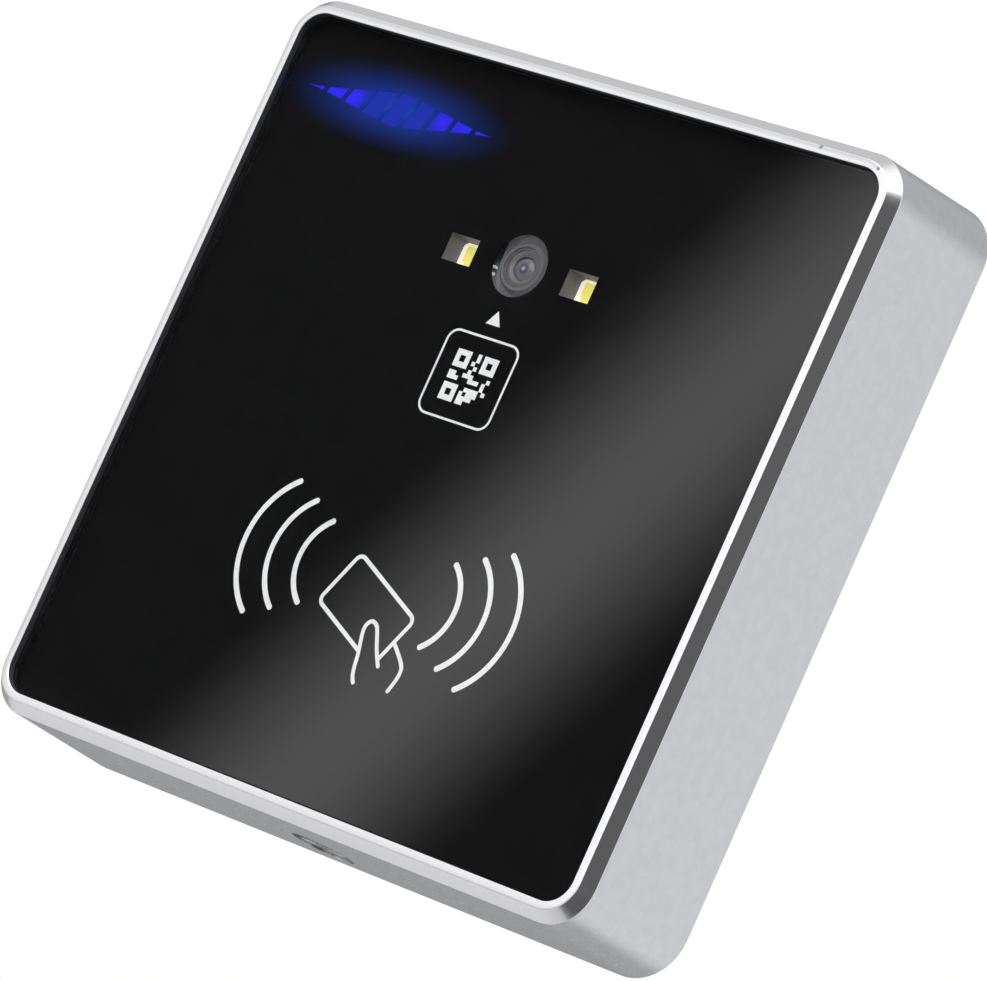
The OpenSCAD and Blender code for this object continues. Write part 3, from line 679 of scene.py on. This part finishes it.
@dataclass(frozen=True)
class CappedChip(Finish):
    """Ceramic chip part with tinned ends, which carry a painted glint."""

    cap: Colour = srgb(244, 244, 240)
    cap_share: float = 0.3
    cap_blur: float = mm(0.03)
    cap_metal: float = 0.3
    length: float = mm(1.0)
    rows: Point = (mm(19.7), mm(10.3))

    def dress(self, bench: ShaderBench) -> None:
        """Wires the finish to the shader.

        Args:
            bench: the material's bench.
        """
        height = bench.axes()[2]
        off = bench.sums("MINIMUM", *(bench.gap(height, row) for row in self.rows))
        edge = self.length * (0.5 - self.cap_share)
        cap = bench.span(off, edge, edge + self.cap_blur)
        # The emission on the tinned ends is a painted glint.
        bench.shade(Base_Color=bench.blend(cap, self.clouded(bench), self.cap), Roughness=self.worn(bench),
                    Metallic=bench.ramp(cap, 0.0, self.cap_metal), Normal=self.grain(bench),
                    Emission_Color=bench.blend(cap, BLACK, self.cap), Emission_Strength=self.lit)


@dataclass(frozen=True)
class PlatedSteel(Finish):
    """Zinc-plated steel: a pale spangle with faint rolling lines."""

    spangle_size: float = mm(2.2)
    spangle_reach: float = 0.8
    spangle_tints: Point = (1.08, 0.9)
    line_size: float = mm(0.15)
    line_stretch: Triple = (0.04, 1.0, 1.0)
    line_depth: float = mm(0.003)
    line_strength: float = 0.5

    def dress(self, bench: ShaderBench) -> None:
        """Wires the finish to the shader.

        Args:
            bench: the material's bench.
        """
        spangle = bench.span(bench.cells(self.spangle_size), 0.0, self.spangle_reach)
        colour = bench.blend(spangle, *(tint(self.colour, factor) for factor in self.spangle_tints))
        lines = bench.noise(self.line_size, stretch=self.line_stretch)
        bench.shade(Base_Color=colour, Metallic=1.0, Roughness=self.worn(bench),
                    Normal=bench.bump(lines, self.line_depth, self.line_strength, self.grain(bench)))


CAST_ALLOY = CastAlloy("cast_alloy", srgb(206, 207, 211), roughness=0.3, cloud=0.02, cloud_size=mm(1.2),
                       sheen_spread=0.03, grain_size=mm(0.2), grain_depth=mm(0.004))
CLEAR_GLASS = ClearGlass("clear_glass", srgb(253, 254, 254), roughness=0.0, cloud=0.004, cloud_size=mm(20.0))
MASK_FILM = MaskFilm("mask_film", srgb(21, 21, 22), roughness=0.6)
FOAM_TAPE = Finish("foam_tape", srgb(34, 34, 35), roughness=0.9, cloud=0.3, cloud_size=mm(0.4),
                   grain_size=mm(0.25), grain_depth=mm(0.03))
# Painted light: this green is lightened to stand in for light that barely reaches the board behind the
# windows.
BOARD = SolderMask("solder_mask", srgb(112, 190, 160), roughness=0.35)
COPPER = Finish("copper_track", srgb(200, 134, 84), roughness=0.35, metallic=1.0)
# Painted glow: lit makes the fill LEDs' package and phosphor glow faintly.
LED_WHITE = Finish("led_white", srgb(248, 240, 226), roughness=0.35, cloud=0.04, cloud_size=mm(0.5), lit=0.7)
PHOSPHOR = Finish("phosphor", srgb(240, 231, 120), roughness=0.3, cloud=0.1, cloud_size=mm(0.25),
                  grain_size=mm(0.06), grain_depth=mm(0.006), lit=0.55)
BAFFLE = Finish("baffle_grey", srgb(133, 133, 146), roughness=0.6, cloud=0.1, grain_size=mm(0.1),
                grain_depth=mm(0.006))
# Painted light on the lens parts: lit is a painted glow, darkening is painted shade, and the rings carry
# painted highlights.
LENS_GREY = TurnedRings("lens_grey", srgb(124, 123, 126), roughness=0.5, lit=0.16, painted_darkening=0.5,
                        painted_shade_span=(mm(3.0), mm(2.7)))
LENS_DARK = TurnedRings("lens_barrel_grey", srgb(96, 94, 98), roughness=0.42, lit=0.06, painted_darkening=0.42)
LENS_GLASS = CoatedLens("lens_glass", srgb(106, 103, 110), cloud=0.08, cloud_size=mm(0.5))
DIFFUSER = LitDiffuser("lit_diffuser", srgb(18, 18, 40), roughness=0.5, cloud=0.06)
BLUE_CHIP = Finish("blue_chip", srgb(90, 110, 240), roughness=0.25, cloud_size=mm(0.4))
# Painted glint: lit makes the chips' tinned ends glow.
CHIP_PART = CappedChip("chip_part", srgb(178, 160, 128), roughness=0.4, cloud_size=mm(0.4), lit=0.45)
CHIP_BLACK = Finish("chip_black", srgb(38, 38, 40), roughness=0.55, cloud_size=mm(1.5), grain_size=mm(0.12))
NYLON = Finish("nylon", srgb(232, 227, 212), roughness=0.45, cloud=0.05)
BRASS = Finish("turned_brass", srgb(222, 190, 120), roughness=0.28, metallic=1.0, cloud_size=mm(1.0))
ZINC = PlatedSteel("zinc_steel", srgb(214, 215, 216), roughness=0.32, cloud_size=mm(2.0))
SCREW_STEEL = Finish("screw_steel", srgb(212, 212, 214), roughness=0.26, metallic=1.0, cloud_size=mm(0.8))
CAN = Finish("can_aluminium", srgb(214, 215, 219), roughness=0.3, metallic=1.0, grain_size=mm(0.1))
COVER_BLACK = Finish("cover_black", srgb(40, 40, 42), roughness=0.55, cloud=0.08, cloud_size=mm(6.0),
                     grain_size=mm(0.35), grain_depth=mm(0.02))
SENSOR = Finish("sensor_window", srgb(44, 42, 60), roughness=0.12, cloud_size=mm(1.0))
WHITE_INK = Finish("white_ink", srgb(246, 246, 246), roughness=0.6, cloud=0.02, cloud_size=mm(0.8),
                   grain_size=mm(0.1), grain_depth=mm(0.002))
PALE_FLOOR = Finish("pale_floor", srgb(174, 174, 175), roughness=0.8, cloud=0.01, cloud_size=mm(300.0),
                    grain_size=mm(4.0))


class Dresser:
    """Gives every solid its finish."""

    FINISHES: dict[Finish, tuple[str, ...]] = {
        CAST_ALLOY: ("housing",),
        CLEAR_GLASS: ("front_glass",),
        MASK_FILM: ("mask_film",),
        FOAM_TAPE: ("glass_tape",),
        BOARD: ("main_board", "sensor_board"),
        COPPER: ("antenna_coil",),
        LED_WHITE: ("fill_leds",),
        PHOSPHOR: ("led_phosphors",),
        BAFFLE: ("light_baffle",),
        LENS_GREY: ("lens_holder",),
        LENS_DARK: ("lens_barrel",),
        LENS_GLASS: ("front_lens",),
        DIFFUSER: ("indicator_diffuser",),
        BLUE_CHIP: ("indicator_leds",),
        CHIP_PART: ("chip_capacitors",),
        CHIP_BLACK: ("buzzer", "decoder_chip", "rfid_chip"),
        NYLON: ("wire_connector", "engine_connector"),
        BRASS: ("engine_spacers", "connector_pins"),
        ZINC: ("wall_bracket",),
        SCREW_STEEL: ("engine_screws", "board_screws", "cover_screws", "lock_screw"),
        CAN: ("supply_capacitor",),
        COVER_BLACK: ("rear_cover",),
        SENSOR: ("image_sensor",),
    }

    def dress(self) -> None:
        """Puts each finish on the solids that take it."""
        for finish, names in self.FINISHES.items():
            material = finish.material()
            for name in names:
                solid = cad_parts[name]
                solid.data.materials.clear()
                solid.data.materials.append(material)
                LOG.info("%s dressed in %s", name, finish.name)


class NodeTool(Bench):
    """A geometry node tree under construction, with named inputs."""

    def __init__(self, name: str, inputs: dict[str, str]) -> None:
        """Starts a tree that takes a geometry, its inputs and a material, and gives a geometry.

        Args:
            name: the tree's name.
            inputs: input name to kind of value.
        """
        super().__init__(bpy.data.node_groups.new(name, "GeometryNodeTree"))
        self.tree.is_modifier = True
        for label, kind in {"Geometry": "Geometry", **inputs, "Material": "Material"}.items():
            self.tree.interface.new_socket(label, in_out="INPUT", socket_type=f"NodeSocket{kind}")
        self.tree.interface.new_socket("Geometry", in_out="OUTPUT", socket_type="NodeSocketGeometry")
        self.source = self.tree.nodes.new("NodeGroupInput").outputs
        self.sink = self.tree.nodes.new("NodeGroupOutput").inputs

    def give(self, geometry: Socket) -> None:
        """Realizes what was instanced, sets the material and ends the tree.

        Args:
            geometry: the geometry to hand over.
        """
        real = self.node("GeometryNodeRealizeInstances", {"Geometry": geometry}).outputs[0]
        flat = self.node("GeometryNodeSetShadeSmooth", {"Geometry": real, "Shade Smooth": False}).outputs[0]
        inked = self.node("GeometryNodeSetMaterial", {"Geometry": flat, "Material": self.source["Material"]})
        self.put(self.sink[0], inked.outputs[0])

    def run(self, obj: bpy.types.Object, values: dict[str, Any]) -> bpy.types.Object:
        """Runs the tree on an object and keeps the result as its plain mesh.

        Args:
            obj: the object that holds the tree's input geometry.
            values: input name to value.

        Returns:
            The same object, with no modifier left.
        """
        modifier = obj.modifiers.new(self.tree.name, "NODES")
        modifier.node_group = self.tree
        for item in self.tree.interface.items_tree:
            if item.in_out == "INPUT" and item.name in values:
                modifier[item.identifier] = values[item.name]
        graph = bpy.context.evaluated_depsgraph_get()
        mesh = bpy.data.meshes.new_from_object(obj.evaluated_get(graph))
        mesh.name = obj.name
        obj.modifiers.remove(modifier)
        obj.data = mesh
        return obj


class Side(Enum):
    """The two halves of a sign that is mirrored about the face's middle line."""

    LEFT = -1
    RIGHT = 1


@dataclass
class PrintedSigns:
    """White signs printed on the mask film: a pointer, a code, radio arcs and a hand with a card."""

    ink_gap: float = mm(0.005)
    ink_t: float = mm(0.025)
    path_step: float = mm(0.08)
    tip_share: float = 0.05
    corner_steps: int = 8
    arc_steps: int = 24
    curve_steps: int = 6

    pointer_tip: float = 15.15
    pointer_base: float = 13.55
    pointer_half: float = 0.97

    code_centre: Point = (0.01, 7.37)
    code_frame: Point = (9.75, 9.45)
    code_frame_r: float = 1.3
    code_line: float = 0.25
    code_modules: int = 12
    code_pitch: float = 0.475
    code_fill: float = 0.49
    code_seed: int = 7
    finder_size: float = 1.95
    finder_hole: float = 0.72

    arc_z: float = -15.94
    arc_line: float = 0.64
    arcs: tuple[Triple, ...] = ((9.65, 9.23, 7.65), (7.3, 7.65, 6.3), (5.3, 5.74, 4.8))

    card_centre: Point = (0.235, -18.843)
    card_size: Point = (11.14, 6.66)
    card_turn: float = -24.6
    card_r: float = 0.8
    card_ends: tuple[Point, Point] = ((4.3, -23.29), (1.57, -23.12))
    card_ink: float = 0.8
    sign_line: float = 0.46
    thumb: tuple[Point, ...] = (
        (2.72, -26.54), (2.2, -25.79), (1.9, -24.84), (1.64, -23.44), (1.32, -22.29), (1.03, -21.14),
        (1.04, -20.34), (1.56, -19.74), (2.34, -19.99), (2.84, -20.74), (3.46, -21.94), (4.09, -22.99),
        (4.87, -24.09))
    hand: tuple[Point, ...] = (
        (5.38, -21.02), (6.68, -22.14), (7.46, -22.94), (7.73, -23.54), (7.68, -24.44), (7.4, -25.44),
        (7.13, -26.17))

    def __post_init__(self) -> None:
        """Finds the film's front and makes the two drawing trees."""
        self.film_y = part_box("mask_film")[0].y
        self.ink = WHITE_INK.material()
        self.stroke_tree = self.make_stroke_tree()
        self.module_tree = self.make_module_tree()

    def make_stroke_tree(self) -> NodeTool:
        """Makes the tree that draws a line of ink with round ends along each path.

        Returns:
            The tree, which takes the paths as a mesh of edges.
        """
        tool = NodeTool("ink_stroke", {"Width": "Float", "Thickness": "Float", "Step": "Float",
                                       "Height": "Float"})
        width = tool.source["Width"]
        path = tool.node("GeometryNodeMeshToCurve", {"Mesh": tool.source["Geometry"]}).outputs[0]
        path = tool.node("GeometryNodeSetCurveNormal", {"Curve": path}, mode="Z_UP").outputs[0]
        fine = tool.node("GeometryNodeResampleCurve", {"Curve": path, "Length": tool.source["Step"]},
                         mode="LENGTH").outputs[0]
        along = tool.node("GeometryNodeSplineParameter").outputs["Length"]
        whole = tool.node("GeometryNodeSplineLength").outputs["Length"]
        half = tool.sums("MULTIPLY", width, 0.5)
        end = tool.sums("MINIMUM", tool.sums("MINIMUM", along, tool.sums("SUBTRACT", whole, along)), half)
        share = tool.sums("SUBTRACT", 1.0, tool.sums("DIVIDE", end, half))
        round_end = tool.sums("SQRT", tool.sums("SUBTRACT", 1.0, tool.sums("MULTIPLY", share, share)))
        ended = tool.sums("MAXIMUM", round_end, self.tip_share)
        closed = tool.node("GeometryNodeInputSplineCyclic").outputs[0]
        scale = tool.node("GeometryNodeSwitch", {"Switch": closed, "False": ended, "True": 1.0},
                          input_type="FLOAT").outputs[0]
        profile = tool.node("GeometryNodeCurvePrimitiveQuadrilateral",
                            {"Width": width, "Height": tool.source["Thickness"]}).outputs[0]
        swept = tool.node("GeometryNodeCurveToMesh", {"Curve": fine, "Profile Curve": profile,
                                                      "Scale": scale, "Fill Caps": True})
        tool.give(self.stood_up(tool, swept.outputs[0]))
        return tool

    def make_module_tree(self) -> NodeTool:
        """Makes the tree that fills a square field with code modules, clear of three corner squares.

        Returns:
            The tree, which takes no mesh of its own.
        """
        tool = NodeTool("code_modules", {"Count": "Int", "Pitch": "Float", "Thickness": "Float",
                                         "Seed": "Int", "Centre": "Vector", "Height": "Float"})
        count, pitch = tool.source["Count"], tool.source["Pitch"]
        side = tool.sums("MULTIPLY", tool.sums("SUBTRACT", count, 1), pitch)
        grid = tool.node("GeometryNodeMeshGrid", {"Size X": side, "Size Y": side, "Vertices X": count,
                                                  "Vertices Y": count}).outputs[0]
        place = tool.node("GeometryNodeInputPosition").outputs[0]
        x, y, _ = tool.node("ShaderNodeSeparateXYZ", {0: place}).outputs
        wide = tool.sums("GREATER_THAN", tool.sums("ABSOLUTE", x), pitch)
        high = tool.sums("GREATER_THAN", tool.sums("ABSOLUTE", y), pitch)
        corner = tool.sums("MULTIPLY", wide, high)
        low_right = tool.sums("MULTIPLY", tool.sums("GREATER_THAN", x, 0), tool.sums("LESS_THAN", y, 0))
        free = tool.sums("SUBTRACT", 1, tool.sums("MULTIPLY", corner, tool.sums("SUBTRACT", 1, low_right)))
        chance = tool.node("FunctionNodeRandomValue", {"Probability": self.code_fill,
                                                       "Seed": tool.source["Seed"]}, data_type="BOOLEAN")
        drawn = next(s for s in chance.outputs if s.enabled)
        keep = tool.sums("GREATER_THAN", tool.sums("MULTIPLY", free, drawn), 0.5)
        size = tool.node("ShaderNodeCombineXYZ", {0: pitch, 1: pitch, 2: tool.source["Thickness"]}).outputs[0]
        module = tool.node("GeometryNodeMeshCube", {"Size": size}).outputs[0]
        field = tool.node("GeometryNodeInstanceOnPoints", {"Points": grid, "Selection": keep,
                                                           "Instance": module}).outputs[0]
        moved = tool.node("GeometryNodeTransform", {"Geometry": field, "Translation": tool.source["Centre"]})
        tool.give(self.stood_up(tool, moved.outputs[0]))
        return tool

    def stood_up(self, tool: NodeTool, flat: Socket) -> Socket:
        """Turns a flat drawing upright, facing the front, at the tree's Height in front of the wall.

        Args:
            tool: the tree.
            flat: geometry drawn in X and Y.

        Returns:
            The upright geometry.
        """
        forward = tool.sums("MULTIPLY", tool.source["Height"], -1)
        away = tool.node("ShaderNodeCombineXYZ", {1: forward}).outputs[0]
        return tool.node("GeometryNodeTransform", {"Geometry": flat, "Translation": away,
                                                   "Rotation": (math.pi / 2, 0, 0)}).outputs[0]

    @property
    def ink_height(self) -> float:
        """Distance from the wall to the middle of the ink's thickness, in metres."""
        return -self.film_y + self.ink_gap + self.ink_t / 2

    def strokes(self, name: str, paths: Iterable[tuple[list[Point], bool]], width: float,
                ink_share: float = 1.0) -> bpy.types.Object:
        """Draws lines of ink along paths.

        Args:
            name: the piece's name.
            paths: each path's points in millimetres, and whether it is closed.
            width: the line's width in millimetres.
            ink_share: how thick the ink is, as a share of the usual thickness.

        Returns:
            The piece.
        """
        mesh = bpy.data.meshes.new(name)
        points, edges = [], []
        for path, closed in paths:
            first = len(points)
            points += [(mm(x), mm(y), 0.0) for x, y in path]
            edges += [(first + i, first + i + 1) for i in range(len(path) - 1)]
            if closed:
                edges.append((len(points) - 1, first))
        mesh.from_pydata(points, edges, [])
        return self.stroke_tree.run(add_object(name, mesh), {
            "Width": mm(width), "Thickness": ink_share * self.ink_t, "Step": self.path_step,
            "Height": self.ink_height, "Material": self.ink})

    def plates(self, name: str, outlines: Sequence[Sequence[list[Point]]]) -> bpy.types.Object:
        """Makes flat patches of ink, each from an outline and a hole with as many points, if it has one.

        Args:
            name: the piece's name.
            outlines: for each patch its outline, and its hole if it has one, in millimetres.

        Returns:
            The piece.
        """
        shape = bmesh.new()
        near = self.film_y - self.ink_gap
        levels = (near, near - self.ink_t)
        for loops in outlines:
            rings = [[[shape.verts.new((mm(x), y, mm(z))) for x, z in loop] for y in levels]
                     for loop in loops]
            bands = list(rings)
            if len(rings) == 1:
                for outline in rings[0]:
                    shape.faces.new(outline)
            else:
                bands += zip(*rings)
            for first, second in bands:
                for i in range(len(first)):
                    j = (i + 1) % len(first)
                    shape.faces.new((first[i], first[j], second[j], second[i]))
        bmesh.ops.recalc_face_normals(shape, faces=shape.faces)
        mesh = bpy.data.meshes.new(name)
        shape.to_mesh(mesh)
        shape.free()
        mesh.materials.append(self.ink)
        return add_object(name, mesh)

    def rounded_path(self, size: Point, radius: float, centre: Point, turn: float = 0.0) -> list[Point]:
        """Points round a rounded rectangle, from the right end of its bottom edge on, anticlockwise.

        Args:
            size: width and height in millimetres.
            radius: corner radius.
            centre: its middle.
            turn: how far it is turned, in degrees.

        Returns:
            The points.
        """
        half_w, half_h = size[0] / 2 - radius, size[1] / 2 - radius
        spin = Matrix.Rotation(math.radians(turn), 2)
        points = []
        for corner, (x, y) in enumerate(((1, -1), (1, 1), (-1, 1), (-1, -1))):
            for i in range(self.corner_steps + 1):
                angle = math.radians(90 * (corner - 1 + i / self.corner_steps))
                point = spin @ Vector((x * half_w + radius * math.cos(angle),
                                       y * half_h + radius * math.sin(angle)))
                points.append((centre[0] + point.x, centre[1] + point.y))
        return points

    def square(self, size: float, centre: Point) -> list[Point]:
        """Corners of an upright square."""
        half = size / 2
        return [(centre[0] + x * half, centre[1] + z * half) for x, z in SQUARE_CORNERS]

    def smooth_line(self, points: Sequence[Point]) -> list[Point]:
        """Draws a smooth line through a few points.

        Args:
            points: the points in millimetres.

        Returns:
            The points of the smooth line.
        """
        ends = [points[0], *points, points[-1]]
        line = []
        for i in range(len(points) - 1):
            a, b, c, d = (Vector(p) for p in ends[i:i + 4])
            for k in range(self.curve_steps):
                t = k / self.curve_steps
                p = 0.5 * (2 * b + (c - a) * t + (2 * a - 5 * b + 4 * c - d) * t * t
                           + (3 * b - 3 * c + d - a) * t ** 3)
                line.append((p.x, p.y))
        return [*line, tuple(points[-1])]

    def pointer_and_code(self) -> list[bpy.types.Object]:
        """Makes the pointer, the code's frame, its three corner squares and its modules.

        Returns:
            The pieces.
        """
        reach = self.code_modules * self.code_pitch / 2 - self.finder_size / 2
        cx, cz = self.code_centre
        finders = [(cx - reach, cz + reach), (cx + reach, cz + reach), (cx - reach, cz - reach)]
        squares = [(self.square(self.finder_size, c), self.square(self.finder_hole, c)) for c in finders]
        pointer = [(-self.pointer_half, self.pointer_base), (self.pointer_half, self.pointer_base),
                   (0.0, self.pointer_tip)]
        outline = self.rounded_path(self.code_frame, self.code_frame_r, self.code_centre)
        modules = add_object("code_modules", bpy.data.meshes.new("code_modules"))
        self.module_tree.run(modules, {
            "Count": self.code_modules, "Pitch": mm(self.code_pitch), "Thickness": self.ink_t,
            "Seed": self.code_seed, "Centre": (mm(cx), mm(cz), 0.0), "Height": self.ink_height,
            "Material": self.ink})
        return [self.plates("scan_pointer", [(pointer,)]), self.plates("code_corner_squares", squares),
                modules, self.strokes("code_frame", [(outline, True)], self.code_line)]

    def radio_arcs(self) -> bpy.types.Object:
        """Makes the three arcs on each side of the card sign.

        Returns:
            The piece.
        """
        paths = []
        for side in Side:
            for offset, radius, half_height in self.arcs:
                reach = math.asin(half_height / radius)
                angles = [reach * (2 * i / self.arc_steps - 1) for i in range(self.arc_steps + 1)]
                path = [(side.value * (offset + radius * math.cos(a)), self.arc_z + radius * math.sin(a))
                        for a in angles]
                paths.append((path, False))
        return self.strokes("radio_arcs", paths, self.arc_line)

    def card_and_hand(self) -> list[bpy.types.Object]:
        """Makes the outline of a card, open where the hand holds it, and the hand's two lines over it.

        Returns:
            The card and the hand.
        """
        whole = self.rounded_path(self.card_size, self.card_r, self.card_centre, self.card_turn)
        right_end, bottom_end = self.card_ends
        card = [right_end, *whole[self.corner_steps + 1:], bottom_end]
        lines = [(self.smooth_line(points), False) for points in (self.thumb, self.hand)]
        return [self.strokes("card_outline", [(card, False)], self.sign_line, self.card_ink),
                self.strokes("hand_lines", lines, self.sign_line)]

    def build(self) -> None:
        """Makes every sign and fixes it to the part."""
        for made in [*self.pointer_and_code(), self.radio_arcs(), *self.card_and_hand()]:
            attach(made, BODY)
            LOG.info("%s printed, %d faces", made.name, len(made.data.polygons))


@dataclass(frozen=True)
class Panel:
    """A soft round patch of light, or of shade, far away in one direction, with its radii in degrees."""

    direction: Triple
    inner: float
    outer: float
    level: float


@dataclass
class Studio:
    """White room with a dark side towards the camera, one large soft lamp, a pale floor and the camera."""

    base_level: float = 1.0
    panels: tuple[Panel, ...] = (
        Panel((0.627, 0.771, 0.112), 20, 50, 0.92),
        Panel((0.0, 0.0, -1.0), 20, 48, 0.5),
        Panel((-0.1, 0.62, 0.778), 44, 53, 0.6),
        Panel((-0.598, 0.771, -0.219), 44, 52, 0.36),
        Panel((0.644, -0.445, -0.622), 24, 34, 0.1),
        Panel((0.15, -0.3, 0.94), 12, 32, 1.0),
        Panel((0.25, -0.72, 0.65), 18, 38, 5.0),
        Panel((0.79, -0.59, 0.11), 15, 44, 0.1),
        Panel((0.0, -1.0, 0.0), 8, 14, 0.06),
        Panel((-0.627, -0.771, 0.112), 7, 11, 0.03),
    )
    strip_level: float = 1.57
    strip_at: float = 0.0138
    strip_half: float = 0.0256
    strip_tilt: float = 48.2
    strip_reach: Point = (14.0, 8.0)

    lamp_at: Triple = (0.25, -0.78, 0.95)
    lamp_size: float = 0.9
    lamp_power: float = 9.0

    floor_z: float = -0.16
    floor_size: float = 2.4
    floor_centre: Triple = (-0.1, 0.04, -0.16)
    floor_fade: Point = (0.06, 0.26)

    aim: Triple = (mm(10.661), mm(-17.7), mm(-3.054))
    distance: float = mm(638.72)
    azimuth: float = 39.118
    elevation: float = -6.4436
    roll: float = 24.186
    lens: float = 228.3
    sensor_width: float = 36.0

    def camera_axes(self) -> Matrix:
        """Gives the camera's directions.

        Returns:
            Right, up and back as columns.
        """
        turn = Matrix.Rotation(math.radians(self.azimuth), 3, "Z")
        tip = Matrix.Rotation(math.radians(90 - self.elevation), 3, "X")
        spin = Matrix.Rotation(math.radians(self.roll), 3, "Z")
        return turn @ tip @ spin

    def place_camera(self) -> None:
        """Makes the camera at the picture's angle."""
        axes = self.camera_axes()
        data = bpy.data.cameras.new("camera")
        data.lens = self.lens
        data.sensor_width = self.sensor_width
        camera = add_object("camera", data)
        place = Vector(self.aim) + axes.col[2] * self.distance
        camera.matrix_world = Matrix.Translation(place) @ axes.to_4x4()
        bpy.context.scene.camera = camera

    def lay_floor(self) -> None:
        """Lays the pale floor."""
        half = self.floor_size / 2
        corners = [(x * half, y * half, self.floor_z) for x, y in SQUARE_CORNERS]
        mesh = bpy.data.meshes.new("floor")
        mesh.from_pydata(corners, [], [(0, 1, 2, 3)])
        floor = add_object("floor", mesh)
        mesh.materials.append(self.floor_material())

    def floor_material(self) -> bpy.types.Material:
        """Makes the floor's pale finish, which runs out softly into the white room.

        Returns:
            The material.
        """
        material = PALE_FLOOR.material()
        bench = ShaderBench(material.node_tree)
        fade = bench.span(bench.away(self.floor_centre), *self.floor_fade)
        bench.surface(fade, bench.shader, bench.node("ShaderNodeBsdfTransparent"))
        return material

    def hang_lamp(self) -> None:
        """Hangs the soft lamp, aimed at the part."""
        data = bpy.data.lights.new("soft_lamp", "AREA")
        data.shape = "SQUARE"
        data.size = self.lamp_size
        data.energy = self.lamp_power
        lamp = add_object("soft_lamp", data)
        lamp.location = self.lamp_at
        lamp.rotation_mode = "QUATERNION"
        lamp.rotation_quaternion = (-Vector(self.lamp_at)).to_track_quat("-Z", "Y")

    def light_room(self) -> None:
        """Makes the white room: its light by direction, and plain white where it is seen directly."""
        world = bpy.data.worlds.new("white_room")
        world.use_nodes = True
        bpy.context.scene.world = world
        bench = ShaderBench(world.node_tree)
        towards = bench.node("ShaderNodeTexCoord").outputs["Generated"]
        level: Any = self.base_level
        for panel in self.panels:
            facing = bench.facing(towards, panel.direction)
            share = bench.span(facing, cosine(panel.outer), cosine(panel.inner))
            level = bench.blend(share, level, panel.level, colour=False)
        level = bench.sums("ADD", level, self.strip(bench, towards))
        seen = bench.node("ShaderNodeLightPath").outputs["Is Camera Ray"]
        background = world.node_tree.nodes["Background"]
        bench.put(background.inputs["Color"], WHITE)
        bench.put(background.inputs["Strength"], bench.blend(seen, level, 1.0, colour=False))

    def strip(self, bench: ShaderBench, towards: Socket) -> Socket:
        """Gives the light of the slanted strip that the glass mirrors into the picture.

        Args:
            bench: the world's bench.
            towards: the direction that is looked in.

        Returns:
            The strip's level.
        """
        axes = self.camera_axes()
        mirror = Matrix.Diagonal((1, -1, 1))
        right, down, ahead = mirror @ axes.col[0], mirror @ -axes.col[1], mirror @ -axes.col[2]
        tilt = math.radians(self.strip_tilt)
        across = right * math.cos(tilt) + down * math.sin(tilt)
        along = bench.facing(towards, ahead)
        offset = bench.sums("DIVIDE", bench.facing(towards, across), along)
        lit = bench.span(bench.gap(offset, self.strip_at), self.strip_half, 0.0, 0.0, self.strip_level)
        return bench.sums("MULTIPLY", lit, bench.span(along, *(cosine(edge) for edge in self.strip_reach)))

    def build(self) -> None:
        """Sets up the camera, the floor, the lamp and the room."""
        self.place_camera()
        self.lay_floor()
        self.hang_lamp()
        self.light_room()
        bpy.context.scene.view_settings.view_transform = "Standard"


def main() -> None:
    """Dresses the part and sets up its picture."""
    logging.basicConfig(level=logging.INFO, format="%(name)s: %(message)s")
    Studio().build()
    Dresser().dress()
    PrintedSigns().build()


if __name__ == "__main__":
    main()
